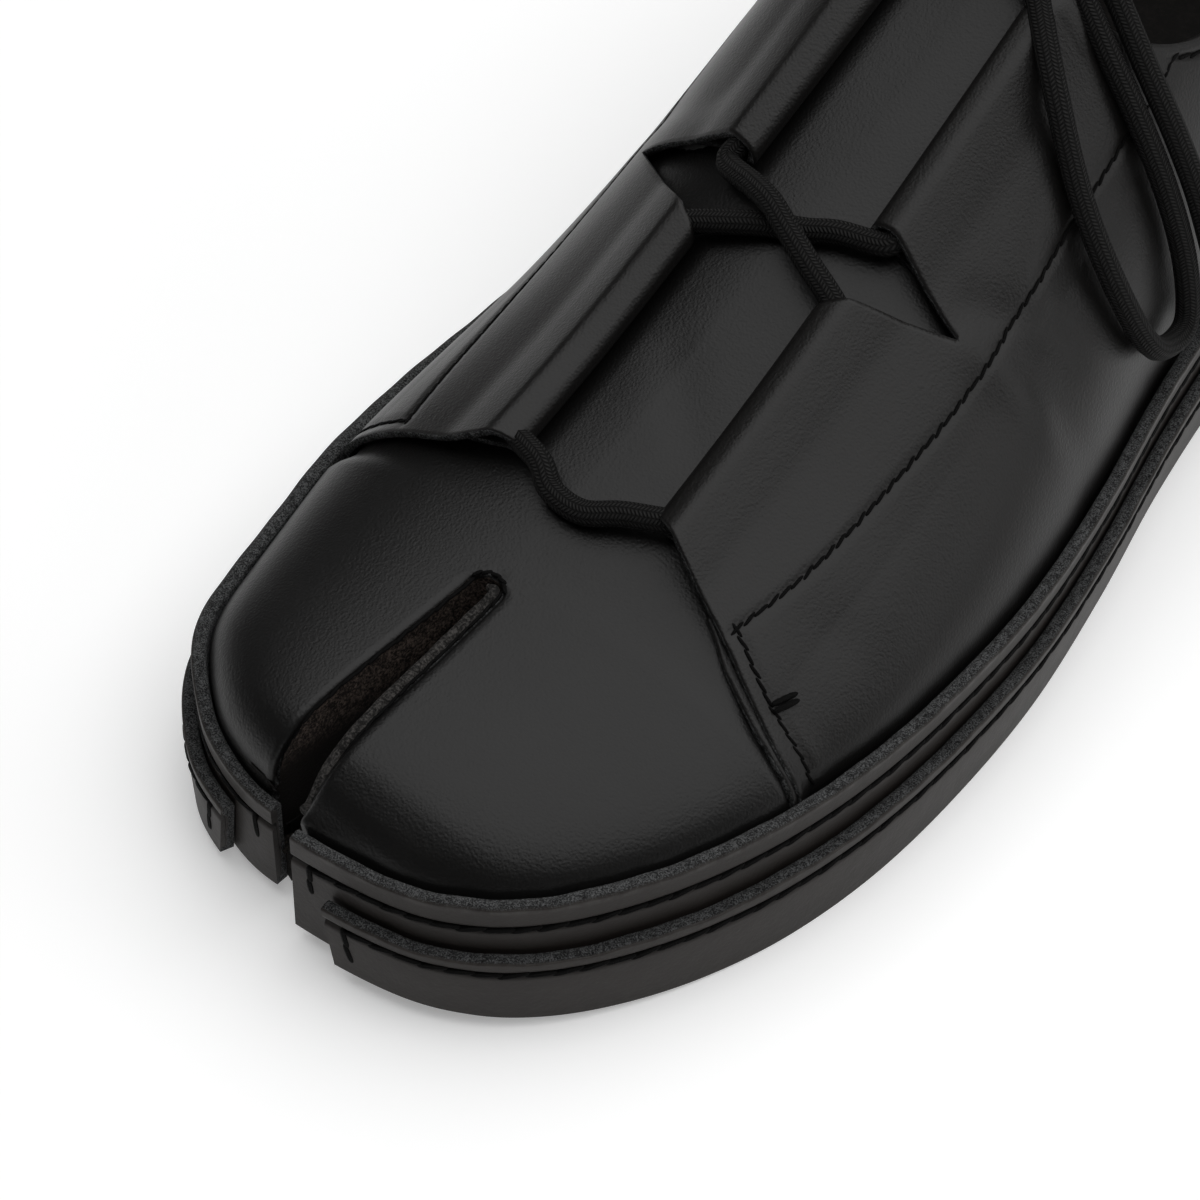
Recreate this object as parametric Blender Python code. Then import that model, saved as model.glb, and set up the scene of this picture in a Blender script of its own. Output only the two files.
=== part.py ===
"""Split-toe lace-up flat shoe for the left foot, standing empty on its sole.

The toe points to -Y, the inner (medial) side is -X and the sole stands on z = 0. One function, last_point,
gives the surface of the last. The upper, its quarters and the lace are all laid out on it.
"""
import math
from collections import namedtuple

import bmesh
import bpy

MM = 0.001

# Driving dimensions in millimetres; y runs from the front of the toe to the back of the heel
LENGTH = 260.0
HEEL_RADIUS = 35.0
HEEL_CENTRE_X = 7.0
GAP = 0.3
TOE_SPRING = 3.0
SPRING_RUN = 48.0
ARCH_RISE = 1.2
ARCH_FROM = 115.0
ARCH_TO = 190.0
OUTSOLE_THICKNESS = 6.0
INSOLE_THICKNESS = 2.0
RAND_THICKNESS = 2.0
RAND_INNER_HEIGHT = 20.8
RAND_OUTER_HEIGHT = 12.4
RAND_OUTER_STARTS = 5.5
RAND_LEAN = 0.13
LEAN_FROM = 15.0
LEAN_TO = 115.0
LOBE_REACH_LATERAL = 1.8
LOBE_REACH_MEDIAL = -1.8
LOBE_RUN = 50.0
RAND_SPRING_SHARE = 0.35
WALL = 1.6
QUARTER_THICKNESS = 1.4
SKIVE = 0.3
PANEL_GAP = 0.42
ROOM_FROM = 20.0
ROOM_TO = 9.0
SPRING_LINE = 19.5
HEEL_LEAN = 5.0
HEEL_LEAN_FROM = 25.0
HEEL_LEAN_RUN = 45.0
DOME_LEAST = 4.0
LOBE_HOLD = 0.4
SLOT_END = 41.5
SOLE_SLOT_END = 35.0
SLOT_CENTRE = 3.0
SLOT_SLANT = 0.065
SLOT_HALF_FRONT = 4.0
SLOT_NARROWS = 1.9
SLOT_ROWS = (-14.0, 6.0, 18.0, 29.0)
SLOT_LEVELS = ((-12.0, 0.55), (62.0, 1.35))
TONGUE_HALF_WIDTH = 17.0
TONGUE_END = 150.0
FACING_END = 131.0
COLLAR_ROWS = (122.0, 126.0, 131.0, 135.0, 139.0, 144.0, 149.0, 150.0, 157.0, 165.0, 177.0, 190.0, 205.0,
               220.0, 235.0, 250.0, 270.0)
ABOVE_ALL = 125.0
LACE_RADIUS = 1.55
KNOT_RADII = (5.0, 4.5, 3.6)
KNOT_PLACE = (10.5, 143.2, 4.7)
TUNNEL_RADIUS = 2.0
TUNNEL_BACK = 3.3
ROOF_THICKNESS = 1.15
ROLL_ANGLES = (70, 100, 130, 160, 190, 220, 245, 268)
SLIT_PAST = 6.0
ROOF_SET_BACK = 0.5
BACK_SEAM = 1.993
PANEL_FOOT = 8.0

LATERAL = 1
MEDIAL = -1
SIDE_NAME = {LATERAL: "lateral", MEDIAL: "medial"}
STEPS_ALONG = 24
FIRST_STATION = 0.004
STEPS_HEEL = 7
STEPS_STRIP = 26
STEPS_ACROSS = 16
PANEL_STEPS = 6
PANEL_FRONT_ROWS = 9
PANEL_TOP_ROWS = (131.0, 134.0, 138.0, 143.0, 149.0)
ROOF_ROWS = 8
CORD_STEPS = 2
QUARTER_OUT = GAP + QUARTER_THICKNESS
UPPER_INSET = 2.0 * (RAND_THICKNESS + GAP)
TUNNEL_HEIGHT = QUARTER_OUT + TUNNEL_RADIUS - 0.1

# Plan of the sole on the floor, outside the outer strip
PlanRow = namedtuple("PlanRow", "y medial lateral")
PLAN = (
    PlanRow(0.0, -0.4, 5.7),
    PlanRow(1.4, -8.2, 22.6),
    PlanRow(5.0, -15.4, 32.2),
    PlanRow(10.0, -20.6, 38.8),
    PlanRow(18.0, -26.2, 45.3),
    PlanRow(28.0, -29.9, 50.8),
    PlanRow(40.0, -32.7, 55.1),
    PlanRow(55.0, -34.8, 57.9),
    PlanRow(72.0, -34.7, 58.6),
    PlanRow(90.0, -32.9, 57.6),
    PlanRow(110.0, -30.8, 54.2),
    PlanRow(130.0, -28.8, 49.8),
    PlanRow(150.0, -27.3, 46.6),
    PlanRow(175.0, -26.7, 44.0),
    PlanRow(200.0, -27.4, 42.8),
    PlanRow(225.0, -28.0, 42.0),
)

# Top line of the last: where its ridge runs, and how full its section is on each side (2 is an ellipse)
RidgeRow = namedtuple("RidgeRow", "y x z medial lateral")
RIDGE = (
    RidgeRow(4.6, 3.0, 21.5, 2.6, 2.6),
    RidgeRow(6.5, 3.2, 24.2, 2.5, 2.5),
    RidgeRow(9.0, 3.5, 26.4, 2.4, 2.4),
    RidgeRow(13.0, 4.0, 28.4, 2.3, 2.3),
    RidgeRow(20.0, 4.6, 29.8, 2.2, 2.2),
    RidgeRow(30.0, 5.3, 31.0, 2.1, 2.1),
    RidgeRow(42.0, 6.2, 32.8, 2.0, 2.0),
    RidgeRow(57.0, 7.2, 36.6, 1.9, 1.9),
    RidgeRow(75.0, 8.2, 42.0, 2.0, 1.9),
    RidgeRow(95.0, 9.0, 49.3, 2.4, 1.9),
    RidgeRow(115.0, 9.6, 57.2, 2.7, 1.9),
    RidgeRow(135.0, 10.0, 65.6, 2.8, 2.0),
    RidgeRow(152.0, 10.0, 73.5, 2.5, 2.0),
    RidgeRow(170.0, 9.5, 84.0, 2.2, 2.0),
    RidgeRow(190.0, 8.5, 95.0, 2.0, 2.0),
    RidgeRow(215.0, 7.5, 105.0, 2.0, 2.0),
    RidgeRow(260.0, 7.0, 112.0, 2.0, 2.0),
)

# Height of the collar along the sides
CollarRow = namedtuple("CollarRow", "y z")
COLLAR = (
    CollarRow(120.0, 92.0),
    CollarRow(131.0, 74.0),
    CollarRow(139.0, 63.5),
    CollarRow(149.0, 57.0),
    CollarRow(165.0, 54.0),
    CollarRow(190.0, 55.0),
    CollarRow(215.0, 59.5),
    CollarRow(240.0, 66.0),
    CollarRow(262.0, 69.0),
)

# Folded inner edges of the two quarters
FoldRow = namedtuple("FoldRow", "y medial lateral")
FOLDS = (
    FoldRow(50.0, -0.9, 18.0),
    FoldRow(90.0, 0.3, 17.9),
    FoldRow(135.0, 2.8, 17.2),
)

# Each quarter: where its front edge meets the strip and the fold, and its slit from the fold to the tip
QuarterRow = namedtuple("QuarterRow", "side name front_low front_fold slit_from slit_to tip_x tip_y")
QUARTERS = (
    QuarterRow(MEDIAL, "quarter_medial", 52.0, 56.0, 91.9, 103.5, -18.0, 105.0),
    QuarterRow(LATERAL, "quarter_lateral", 45.0, 57.5, 90.7, 101.0, 33.0, 101.5),
)

# Slope of the tunnel's roof where it leaves the panel: distance back from the fold, and height of each face
RoofRow = namedtuple("RoofRow", "back outer inner")
ROOF = (
    RoofRow(17.0, 1.55, 0.45),
    RoofRow(13.0, 2.1, 0.8),
    RoofRow(10.0, 3.4, 2.05),
    RoofRow(7.0, 5.1, 3.7),
)


# Free parts of the bow, from the knot outwards: places along the lace in millimetres
BOW = {
    "lace_loop_lateral": (
        (16.6, 141.0, 72.8), (20.0, 137.0, 70.0), (28.6, 128.9, 65.4), (36.6, 124.4, 54.4), (44.0, 122.4, 44.8),
        (48.6, 124.6, 34.6), (49.0, 129.8, 29.6), (48.4, 135.0, 30.0), (45.9, 136.9, 38.2), (41.7, 137.2, 48.6),
        (35.7, 138.0, 57.8), (29.8, 139.4, 64.2), (23.6, 141.8, 69.4), (17.0, 144.6, 73.0)),
    "lace_end_lateral": (
        (15.2, 148.4, 75.0), (21.5, 146.6, 73.4), (28.0, 144.0, 68.6), (34.0, 142.0, 62.6), (39.8, 140.8, 55.6),
        (44.6, 140.3, 47.6), (48.0, 140.4, 38.6), (49.6, 142.0, 29.6), (50.2, 144.5, 23.0)),
    "lace_loop_medial": (
        (4.2, 141.2, 73.0), (-3.5, 142.4, 70.2), (-12.0, 144.0, 65.0), (-19.5, 146.0, 57.0), (-25.8, 148.0, 47.0),
        (-29.6, 150.0, 37.0), (-31.4, 154.0, 30.0), (-31.4, 159.0, 30.0), (-30.4, 162.0, 37.0),
        (-27.2, 161.0, 47.0), (-22.0, 157.5, 57.0), (-14.5, 152.5, 64.5), (-5.0, 147.6, 70.6), (4.0, 144.8, 73.6)),
    "lace_end_medial": (
        (6.0, 148.6, 75.6), (-1.0, 152.0, 74.4), (-8.5, 156.0, 69.6), (-16.0, 160.2, 62.4), (-22.6, 164.4, 53.4),
        (-27.6, 167.4, 43.4), (-30.2, 169.8, 33.4), (-31.0, 171.6, 25.0)),
}


def ramp(value, start, end):
    """Smooth step from 0 at start to 1 at end."""
    share = min(max((value - start) / (end - start), 0.0), 1.0)
    return share * share * (3.0 - 2.0 * share)


def along(rows, column, key, at, warp=lambda y: y):
    """Smooth value of a table's column where its key column equals at."""
    keys = [warp(getattr(row, key)) for row in rows]
    values = [getattr(row, column) for row in rows]
    at = min(max(warp(at), keys[0]), keys[-1])
    last = len(rows) - 1
    i = max(n for n in range(last) if keys[n] <= at or n == 0)

    def slope(n):
        before, after = max(n - 1, 0), min(n + 1, last)
        return (values[after] - values[before]) / (keys[after] - keys[before])

    span = keys[i + 1] - keys[i]
    s = (at - keys[i]) / span
    return (values[i] * (1 + 2 * s) * (1 - s) ** 2 + slope(i) * span * s * (1 - s) ** 2
            + values[i + 1] * s * s * (3 - 2 * s) + slope(i + 1) * span * s * s * (s - 1))


def round_ends(y):
    """Angle that spreads the blunt toe out, so that the plan is smooth where it turns square to y."""
    return math.acos(min(max(1.0 - 2.0 * y / LENGTH, -1.0), 1.0))


HEEL_CENTRE_Y = LENGTH - HEEL_RADIUS
HEEL_ANGLE = round_ends(HEEL_CENTRE_Y)


def station_at(y):
    """Station of a place along the sole: 0 is the toe, 1 the middle of the heel's round, 2 its back."""
    return round_ends(y) / HEEL_ANGLE


def plan_point(side, station):
    """Point of the sole's outline on the floor."""
    if station > 1.0:
        turn = (station - 1.0) * math.pi / 2.0
        x = HEEL_CENTRE_X + side * HEEL_RADIUS * math.cos(turn)
        return x, HEEL_CENTRE_Y + HEEL_RADIUS * math.sin(turn)
    y = LENGTH * (1.0 - math.cos(station * HEEL_ANGLE)) / 2.0
    x = along(PLAN, SIDE_NAME[side], "y", y, round_ends)
    reach = LOBE_REACH_LATERAL if side == LATERAL else LOBE_REACH_MEDIAL
    return x, y - reach * max(0.0, 1.0 - y / LOBE_RUN) ** 2


def ground(y):
    """Height of the underside: toe spring, flat forefoot, shallow arch, flat heel."""
    spring = TOE_SPRING * max(0.0, 1.0 - y / SPRING_RUN) ** 2
    share = min(max((y - ARCH_FROM) / (ARCH_TO - ARCH_FROM), 0.0), 1.0)
    return spring + ARCH_RISE * math.sin(math.pi * share) ** 2


def rim(side, station, inset, z=0.0):
    """Point set in from the outline by inset; the sole's wall leans out a little as it rises."""
    step = 0.004
    before = plan_point(side, max(station - step, 0.0))
    after = plan_point(side, min(station + step, 2.0))
    tx, ty = after[0] - before[0], after[1] - before[1]
    size = math.hypot(tx, ty)
    x, y = plan_point(side, station)
    inward = inset - RAND_LEAN * z * ramp(y, LEAN_FROM, LEAN_TO)
    return x - side * inward * ty / size, y + side * inward * tx / size


def base_inset(side, station):
    """How far the upper stands inside the outline; behind a quarter's front edge it makes room for the quarter."""
    row = QUARTERS[0] if side == MEDIAL else QUARTERS[1]
    room = QUARTER_THICKNESS + 1.6 * GAP
    y = plan_point(side, station)[1]
    return UPPER_INSET + room * ramp(y, row.front_low - ROOM_FROM, row.front_low - ROOM_TO)


def last_point(station, turn, depth):
    """Point of the upper's form: turn 0 is the lateral side, pi the medial side; depth is inward."""
    c, s = math.cos(turn), math.sin(turn)
    side = LATERAL if c >= 0.0 else MEDIAL
    low = {n: rim(n, station, base_inset(n, station) + depth, SPRING_LINE) for n in (LATERAL, MEDIAL)}
    plain = [plan_point(n, station)[1] for n in (LATERAL, MEDIAL)]
    y = (low[LATERAL][1] + low[MEDIAL][1]) / 2.0
    row_y = sum(plain) / 2.0 + UPPER_INSET * (1.0 - ramp(station, 0.0, 0.5))
    ridge_x = along(RIDGE, "x", "y", row_y)
    top = along(RIDGE, "z", "y", row_y)
    fullness = along(RIDGE, SIDE_NAME[side], "y", row_y)
    spring = min(SPRING_LINE, top - DOME_LEAST)
    x = ridge_x + (low[side][0] - ridge_x) * abs(c) ** (2.0 / fullness)
    y += (low[side][1] - y) * abs(c) ** LOBE_HOLD
    z = spring + (top - depth - spring) * s
    rise = max(0.0, (z - HEEL_LEAN_FROM) / HEEL_LEAN_RUN)
    y -= HEEL_LEAN * ramp(y, HEEL_CENTRE_Y - 10.0, LENGTH) * rise ** 2
    return x, y, z


def foot_point(side, station, depth, z):
    """Point of the upper's form below the last's spring line, at a height over the underside."""
    x, y = rim(side, station, base_inset(side, station) + depth, z)
    return x, y, z + ground(y)


def material(name, colour, roughness, metallic=0.0):
    """Principled material in a maker's plain finish."""
    made = bpy.data.materials.new(name)
    made.use_nodes = True
    shader = made.node_tree.nodes["Principled BSDF"]
    shader.inputs["Base Color"].default_value = (*colour, 1.0)
    shader.inputs["Roughness"].default_value = roughness
    shader.inputs["Metallic"].default_value = metallic
    return made


def add_object(name, mesh, finish, collection):
    """Object for a finished mesh, shaded smooth, in one of the two collections."""
    thing = bpy.data.objects.new(name, mesh)
    collection.objects.link(thing)
    if finish:
        mesh.materials.append(finish)
        mesh.shade_smooth()
        mesh.set_sharp_from_angle(angle=math.radians(40.0))
    else:
        thing.hide_render = True
        thing.display_type = "WIRE"
    return thing


def mesh_from(bm, name):
    """Mesh from a bmesh laid out in millimetres, with its faces turned outwards."""
    bmesh.ops.scale(bm, vec=(MM, MM, MM), verts=bm.verts)
    bmesh.ops.translate(bm, vec=SHIFT, verts=bm.verts)
    bmesh.ops.triangulate(bm, faces=bm.faces)
    bmesh.ops.recalc_face_normals(bm, faces=bm.faces)
    mesh = bpy.data.meshes.new(name)
    bm.to_mesh(mesh)
    bm.free()
    return mesh


def loft(name, rings):
    """Closed solid through a row of closed rings with equal point counts."""
    bm = bmesh.new()
    made = [[bm.verts.new(p) for p in ring] for ring in rings]
    count = len(rings[0])
    for first, second in zip(made, made[1:]):
        for i in range(count):
            bm.faces.new((first[i], first[(i + 1) % count], second[(i + 1) % count], second[i]))
    bm.faces.new(made[0])
    bm.faces.new(made[-1])
    return mesh_from(bm, name)


def thick_sheet(name, rows):
    """Closed sheet: each row is a list of (outer point, inner point) pairs."""
    return loft(name, [[pair[0] for pair in row] + [pair[1] for pair in reversed(row)] for row in rows])


def cut(thing, cutter, operation="DIFFERENCE"):
    """Boolean modifier on a part."""
    change = thing.modifiers.new(operation.lower() + "_" + cutter.name, "BOOLEAN")
    change.operation = operation
    change.object = cutter
    change.solver = "MANIFOLD"


def stations():
    """Stations from the toe to the back of the heel, the last one just short of the middle line."""
    toe_to_heel = [FIRST_STATION] + [(i + 1) / STEPS_ALONG for i in range(STEPS_ALONG)]
    return toe_to_heel + [1.0 + 0.97 * (i + 1) / STEPS_HEEL for i in range(STEPS_HEEL)]


def slab(name, inset, extra, low, high):
    """Flat layer of the sole between two heights over the underside."""
    rings = []
    for station in stations():
        ring = []
        for side, z in ((LATERAL, low), (LATERAL, high), (MEDIAL, high), (MEDIAL, low)):
            more = base_inset(side, station) + extra if inset is None else inset
            x, y = rim(side, station, more, z)
            ring.append((x, y, z + ground(y)))
        rings.append(ring)
    return loft(name, rings)


def strip_rows(inset, height, starts):
    """Rows of an upright strip round the sole, from one side of the split to the other."""
    order = [(LATERAL, i / STEPS_STRIP) for i in range(2 * STEPS_STRIP + 1)]
    order += [(MEDIAL, i / STEPS_STRIP) for i in range(2 * STEPS_STRIP - 1, -1, -1)]
    whole = [rim(side, station, inset) for side, station in order]
    run = [0.0]
    for first, second in zip(whole, whole[1:]):
        run.append(run[-1] + math.dist(first, second))
    rows = []
    for (side, station), length in zip(order, run):
        if length < starts or run[-1] - length < starts:
            continue
        row = []
        for z in (0.0, height):
            x, y = rim(side, station, inset, z)
            back_x, back_y = rim(side, station, inset + RAND_THICKNESS, z)
            level = z + ground(y) * (RAND_SPRING_SHARE if z else 1.0)
            row.append(((x, y, level), (back_x, back_y, level)))
        rows.append(row)
    return rows


def slot_cutter(name, end, grow, collection):
    """Wedge that parts the two toe lobes, wider at the top, with a round end."""
    rings = []
    for z, width in SLOT_LEVELS:
        nose = 2.0 * width + grow
        left, right = [], []
        for y in (*SLOT_ROWS, end - nose):
            half = (SLOT_HALF_FRONT - SLOT_NARROWS * ramp(y, SLOT_ROWS[1], end)) * width + grow
            middle = SLOT_CENTRE + SLOT_SLANT * y
            left.append((middle - half, y, z))
            right.append((middle + half, y, z))
        reach = right[-1][0] - middle
        turn = [math.radians(180.0 - 36.0 * i) for i in range(1, 5)]
        tip = [(middle + reach * math.cos(a), end - nose + nose * math.sin(a), z) for a in turn]
        rings.append(left + tip + right[::-1])
    return add_object(name, loft(name, rings), None, collection)


def form(name, depth, low):
    """Closed form of the last at a depth inside the upper's outer face, down to a height low."""
    rings = []
    for station in stations():
        arch = [last_point(station, math.pi * i / STEPS_ACROSS, depth) for i in range(STEPS_ACROSS + 1)]
        feet = [foot_point(side, station, depth, low) for side in (MEDIAL, LATERAL)]
        rings.append(arch + feet)
    return loft(name, rings)


def collar_cutter(name, collection):
    """Everything above the collar line; the tongue between the facings is left to stand longer."""
    middle = along(RIDGE, "x", "y", TONGUE_END)
    step = TONGUE_HALF_WIDTH + 1.0
    rows = []
    for x in (-LENGTH, -step, -TONGUE_HALF_WIDTH, TONGUE_HALF_WIDTH, step, LENGTH):
        inside = abs(x) <= TONGUE_HALF_WIDTH
        row = []
        for y in COLLAR_ROWS:
            z = along(COLLAR, "z", "y", y)
            if inside and y < TONGUE_END:
                z = ABOVE_ALL - 5.0
            row.append(((middle + x, y, ABOVE_ALL), (middle + x, y, z)))
        rows.append(row)
    return add_object(name, thick_sheet(name, rows), None, collection)


def climbing(side, climb):
    """Turn on the last that lies climb radians up from one side's base."""
    return climb if side == LATERAL else math.pi - climb


def top_climb(side, station):
    """How far up a quarter reaches: to its fold in front, to the collar line behind it."""
    low, high = 0.0, math.pi / 2.0
    for _ in range(30):
        middle = (low + high) / 2.0
        x, y, z = last_point(station, climbing(side, middle), 0.0)
        past_fold = y < TONGUE_END and side * (x - along(FOLDS, SIDE_NAME[side], "y", y)) < 0.0
        if past_fold or z > along(COLLAR, "z", "y", y):
            high = middle
        else:
            low = middle
    return low


def fold_point(side, station, back, height):
    """Point back from the quarter's fold along the last's section, at a height over the upper."""
    climb = top_climb(side, station)
    step = climb / 60.0
    here = last_point(station, climbing(side, climb), 0.0)
    while back > 0.0 and climb > step:
        there = last_point(station, climbing(side, climb - step), 0.0)
        length = math.dist(here, there)
        climb -= step * min(1.0, back / length)
        back -= length
        here = there
    return last_point(station, climbing(side, climb), -height)


def quarter_panel(row):
    """Leather panel over the upper, from its front edge to the back seam."""
    columns = [i / PANEL_STEPS for i in range(PANEL_STEPS + 1)]
    facing = station_at(FACING_END)
    rows = []
    for j in range(PANEL_FRONT_ROWS):
        share = j / PANEL_FRONT_ROWS
        rows.append([station_at(row.front_low + (row.front_fold - row.front_low) * c) * (1.0 - share)
                     + facing * share for c in columns])
    behind = [station_at(y) for y in PANEL_TOP_ROWS]
    behind += [station for station in stations() if station > behind[-1] + 0.01] + [BACK_SEAM]
    rows += [[station] * len(columns) for station in behind]
    sheet = []
    for line in rows:
        pairs = [tuple(foot_point(row.side, line[0], -depth, PANEL_FOOT) for depth in (QUARTER_OUT, PANEL_GAP))]
        for c, station in zip(columns, line):
            turn = climbing(row.side, c * top_climb(row.side, station))
            inside = PANEL_GAP + SKIVE * ramp(station, 0.8 * facing, facing)
            pairs.append(tuple(last_point(station, turn, -depth) for depth in (QUARTER_OUT, inside)))
        sheet.append(pairs)
    return thick_sheet(row.name, sheet)


def tunnel_roof(row):
    """The folded-over edge of the quarter, standing off the panel so that the lace runs under it."""
    outer, inner = TUNNEL_RADIUS + ROOF_THICKNESS, TUNNEL_RADIUS
    profile = [((r.back, r.outer), (r.back, r.inner)) for r in ROOF]
    for degrees in ROLL_ANGLES:
        c, s = math.cos(math.radians(degrees)), math.sin(math.radians(degrees))
        profile.append(((TUNNEL_BACK + outer * c, TUNNEL_HEIGHT + outer * s),
                        (TUNNEL_BACK + inner * c, TUNNEL_HEIGHT + inner * s)))
    first, last = row.front_fold + ROOF_SET_BACK, FACING_END - ROOF_SET_BACK
    sheet = []
    for j in range(ROOF_ROWS + 1):
        station = station_at(first + (last - first) * j / ROOF_ROWS)
        sheet.append([tuple(fold_point(row.side, station, *spot) for spot in pair) for pair in profile])
    return thick_sheet(row.name + "_roof", sheet)


def slit_cutter(row):
    """Wedge of the V-shaped slit across the fold."""
    fold_x = along(FOLDS, SIDE_NAME[row.side], "y", row.slit_from)
    past = 1.0 + SLIT_PAST / abs(row.tip_x - fold_x)
    corners = [(row.tip_x, row.tip_y)]
    for y in (row.slit_from, row.slit_to):
        corners.append((row.tip_x + (fold_x - row.tip_x) * past, row.tip_y + (y - row.tip_y) * past))
    return loft(row.name + "_slit", [[(x, y, z) for x, y in corners] for z in (0.0, ABOVE_ALL)])


def surface_point(x, y, height):
    """Point over the upper at a place in plan."""
    station = station_at(y)
    low, high = 0.0, math.pi
    for _ in range(40):
        middle = (low + high) / 2.0
        if last_point(station, middle, -height)[0] > x:
            low = middle
        else:
            high = middle
    return last_point(station, low, -height)


def smooth_route(points, per_span):
    """Points along a smooth curve through a route's own points."""
    made = []
    for i in range(len(points) - 1):
        p0, p1 = points[max(i - 1, 0)], points[i]
        p2, p3 = points[i + 1], points[min(i + 2, len(points) - 1)]
        for k in range(per_span):
            s = k / per_span
            made.append(tuple(0.5 * (2 * b + (c - a) * s + (2 * a - 5 * b + 4 * c - d) * s ** 2
                                     + (3 * b - a - 3 * c + d) * s ** 3)
                              for a, b, c, d in zip(p0, p1, p2, p3)))
    return made + [points[-1]]


def cord(name, route, finish, collection):
    """Round lace along a route, as a tube with closed ends."""
    points = smooth_route(route, CORD_STEPS)
    data = bpy.data.curves.new(name, "CURVE")
    data.dimensions = "3D"
    data.bevel_depth = LACE_RADIUS * MM
    data.bevel_resolution = 2
    data.use_fill_caps = True
    spline = data.splines.new("POLY")
    spline.points.add(len(points) - 1)
    for spot, point in zip(spline.points, points):
        spot.co = (*(c * MM + shift for c, shift in zip(point, SHIFT)), 1.0)
    thing = bpy.data.objects.new(name, data)
    collection.objects.link(thing)
    data.materials.append(finish)
    return thing


def cord_as_mesh(name, route, finish, collection):
    """The same lace as a mesh, for strands that are joined."""
    tube = cord(name + "_curve", route, finish, collection)
    bpy.context.view_layer.update()
    mesh = bpy.data.meshes.new_from_object(tube.evaluated_get(bpy.context.evaluated_depsgraph_get()))
    bpy.data.objects.remove(tube, do_unlink=True)
    bm = bmesh.new()
    bm.from_mesh(mesh)
    bmesh.ops.remove_doubles(bm, verts=bm.verts, dist=0.00001)
    bmesh.ops.recalc_face_normals(bm, faces=bm.faces)
    bm.to_mesh(mesh)
    bm.free()
    return bpy.data.objects.new(name, mesh)


def in_tunnel(side, y):
    """Middle of the lace tunnel at a place along the foot."""
    return fold_point(side, station_at(y), TUNNEL_BACK, TUNNEL_HEIGHT)


for old in list(bpy.data.objects):
    bpy.data.objects.remove(old, do_unlink=True)

shoe = bpy.data.collections.new("split_toe_lace_up_shoe")
cutters = bpy.data.collections.new("cutters")
for group in (shoe, cutters):
    bpy.context.scene.collection.children.link(group)

# The part's origin lies on the floor under the middle of the two strips, which reach further than the rest
outer_rows = strip_rows(0.0, RAND_OUTER_HEIGHT, RAND_OUTER_STARTS)
inner_rows = strip_rows(RAND_THICKNESS + GAP, RAND_INNER_HEIGHT, 0.0)
reach = [point for row in outer_rows + inner_rows for pair in row for point in pair]
middle = [(min(p[axis] for p in reach) + max(p[axis] for p in reach)) / 2.0 for axis in (0, 1)]
SHIFT = (-middle[0] * MM, -middle[1] * MM, 0.0)

sole_leather = material("sole_leather", (0.020, 0.017, 0.015), 0.75)
rand_leather = material("rand_leather", (0.024, 0.021, 0.019), 0.55)
insole_leather = material("insole_leather", (0.030, 0.026, 0.023), 0.70)
upper_leather = material("upper_leather", (0.012, 0.011, 0.011), 0.38)
quarter_leather = material("quarter_leather", (0.012, 0.011, 0.011), 0.36)
lace_cotton = material("lace_cotton", (0.010, 0.010, 0.011), 0.90)

slot = slot_cutter("toe_slot", SLOT_END, 0.0, cutters)
slot_inside = slot_cutter("toe_slot_inside", SLOT_END + WALL, WALL, cutters)
slot_insole = slot_cutter("toe_slot_insole", SLOT_END + WALL + GAP, WALL + GAP, cutters)
slot_sole = slot_cutter("toe_slot_sole", SOLE_SLOT_END, 0.0, cutters)
collar = collar_cutter("collar_line", cutters)

outsole = add_object("outsole", slab("outsole", UPPER_INSET, 0.0, 0.0, OUTSOLE_THICKNESS), sole_leather, shoe)
cut(outsole, slot_sole)

add_object("rand_outer", thick_sheet("rand_outer", outer_rows), rand_leather, shoe)
add_object("rand_inner", thick_sheet("rand_inner", inner_rows), rand_leather, shoe)

insole_low = OUTSOLE_THICKNESS + GAP
insole = add_object("insole", slab("insole", None, WALL + GAP, insole_low, insole_low + INSOLE_THICKNESS),
                    insole_leather, shoe)
cut(insole, slot_insole)

upper = add_object("upper", form("upper", 0.0, OUTSOLE_THICKNESS + GAP), upper_leather, shoe)
upper_core = add_object("upper_core", form("upper_core", WALL, -OUTSOLE_THICKNESS), None, cutters)
cut(upper_core, slot_inside)
cut(upper, slot)
cut(upper, upper_core)
cut(upper, collar)

for quarter in QUARTERS:
    panel = add_object(quarter.name, quarter_panel(quarter), quarter_leather, shoe)
    cut(panel, add_object(quarter.name + "_roof", tunnel_roof(quarter), None, cutters), "UNION")
    cut(panel, add_object(quarter.name + "_slit", slit_cutter(quarter), None, cutters))

front_bar = [in_tunnel(MEDIAL, 62.0), in_tunnel(MEDIAL, 58.0), in_tunnel(MEDIAL, 55.2),
             surface_point(2.6, 52.2, 2.5), surface_point(8.6, 50.8, 2.1), surface_point(14.6, 52.4, 2.5),
             in_tunnel(LATERAL, 56.8), in_tunnel(LATERAL, 60.0), in_tunnel(LATERAL, 64.0)]
cord("lace_front_bar", front_bar, lace_cotton, shoe)

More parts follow.
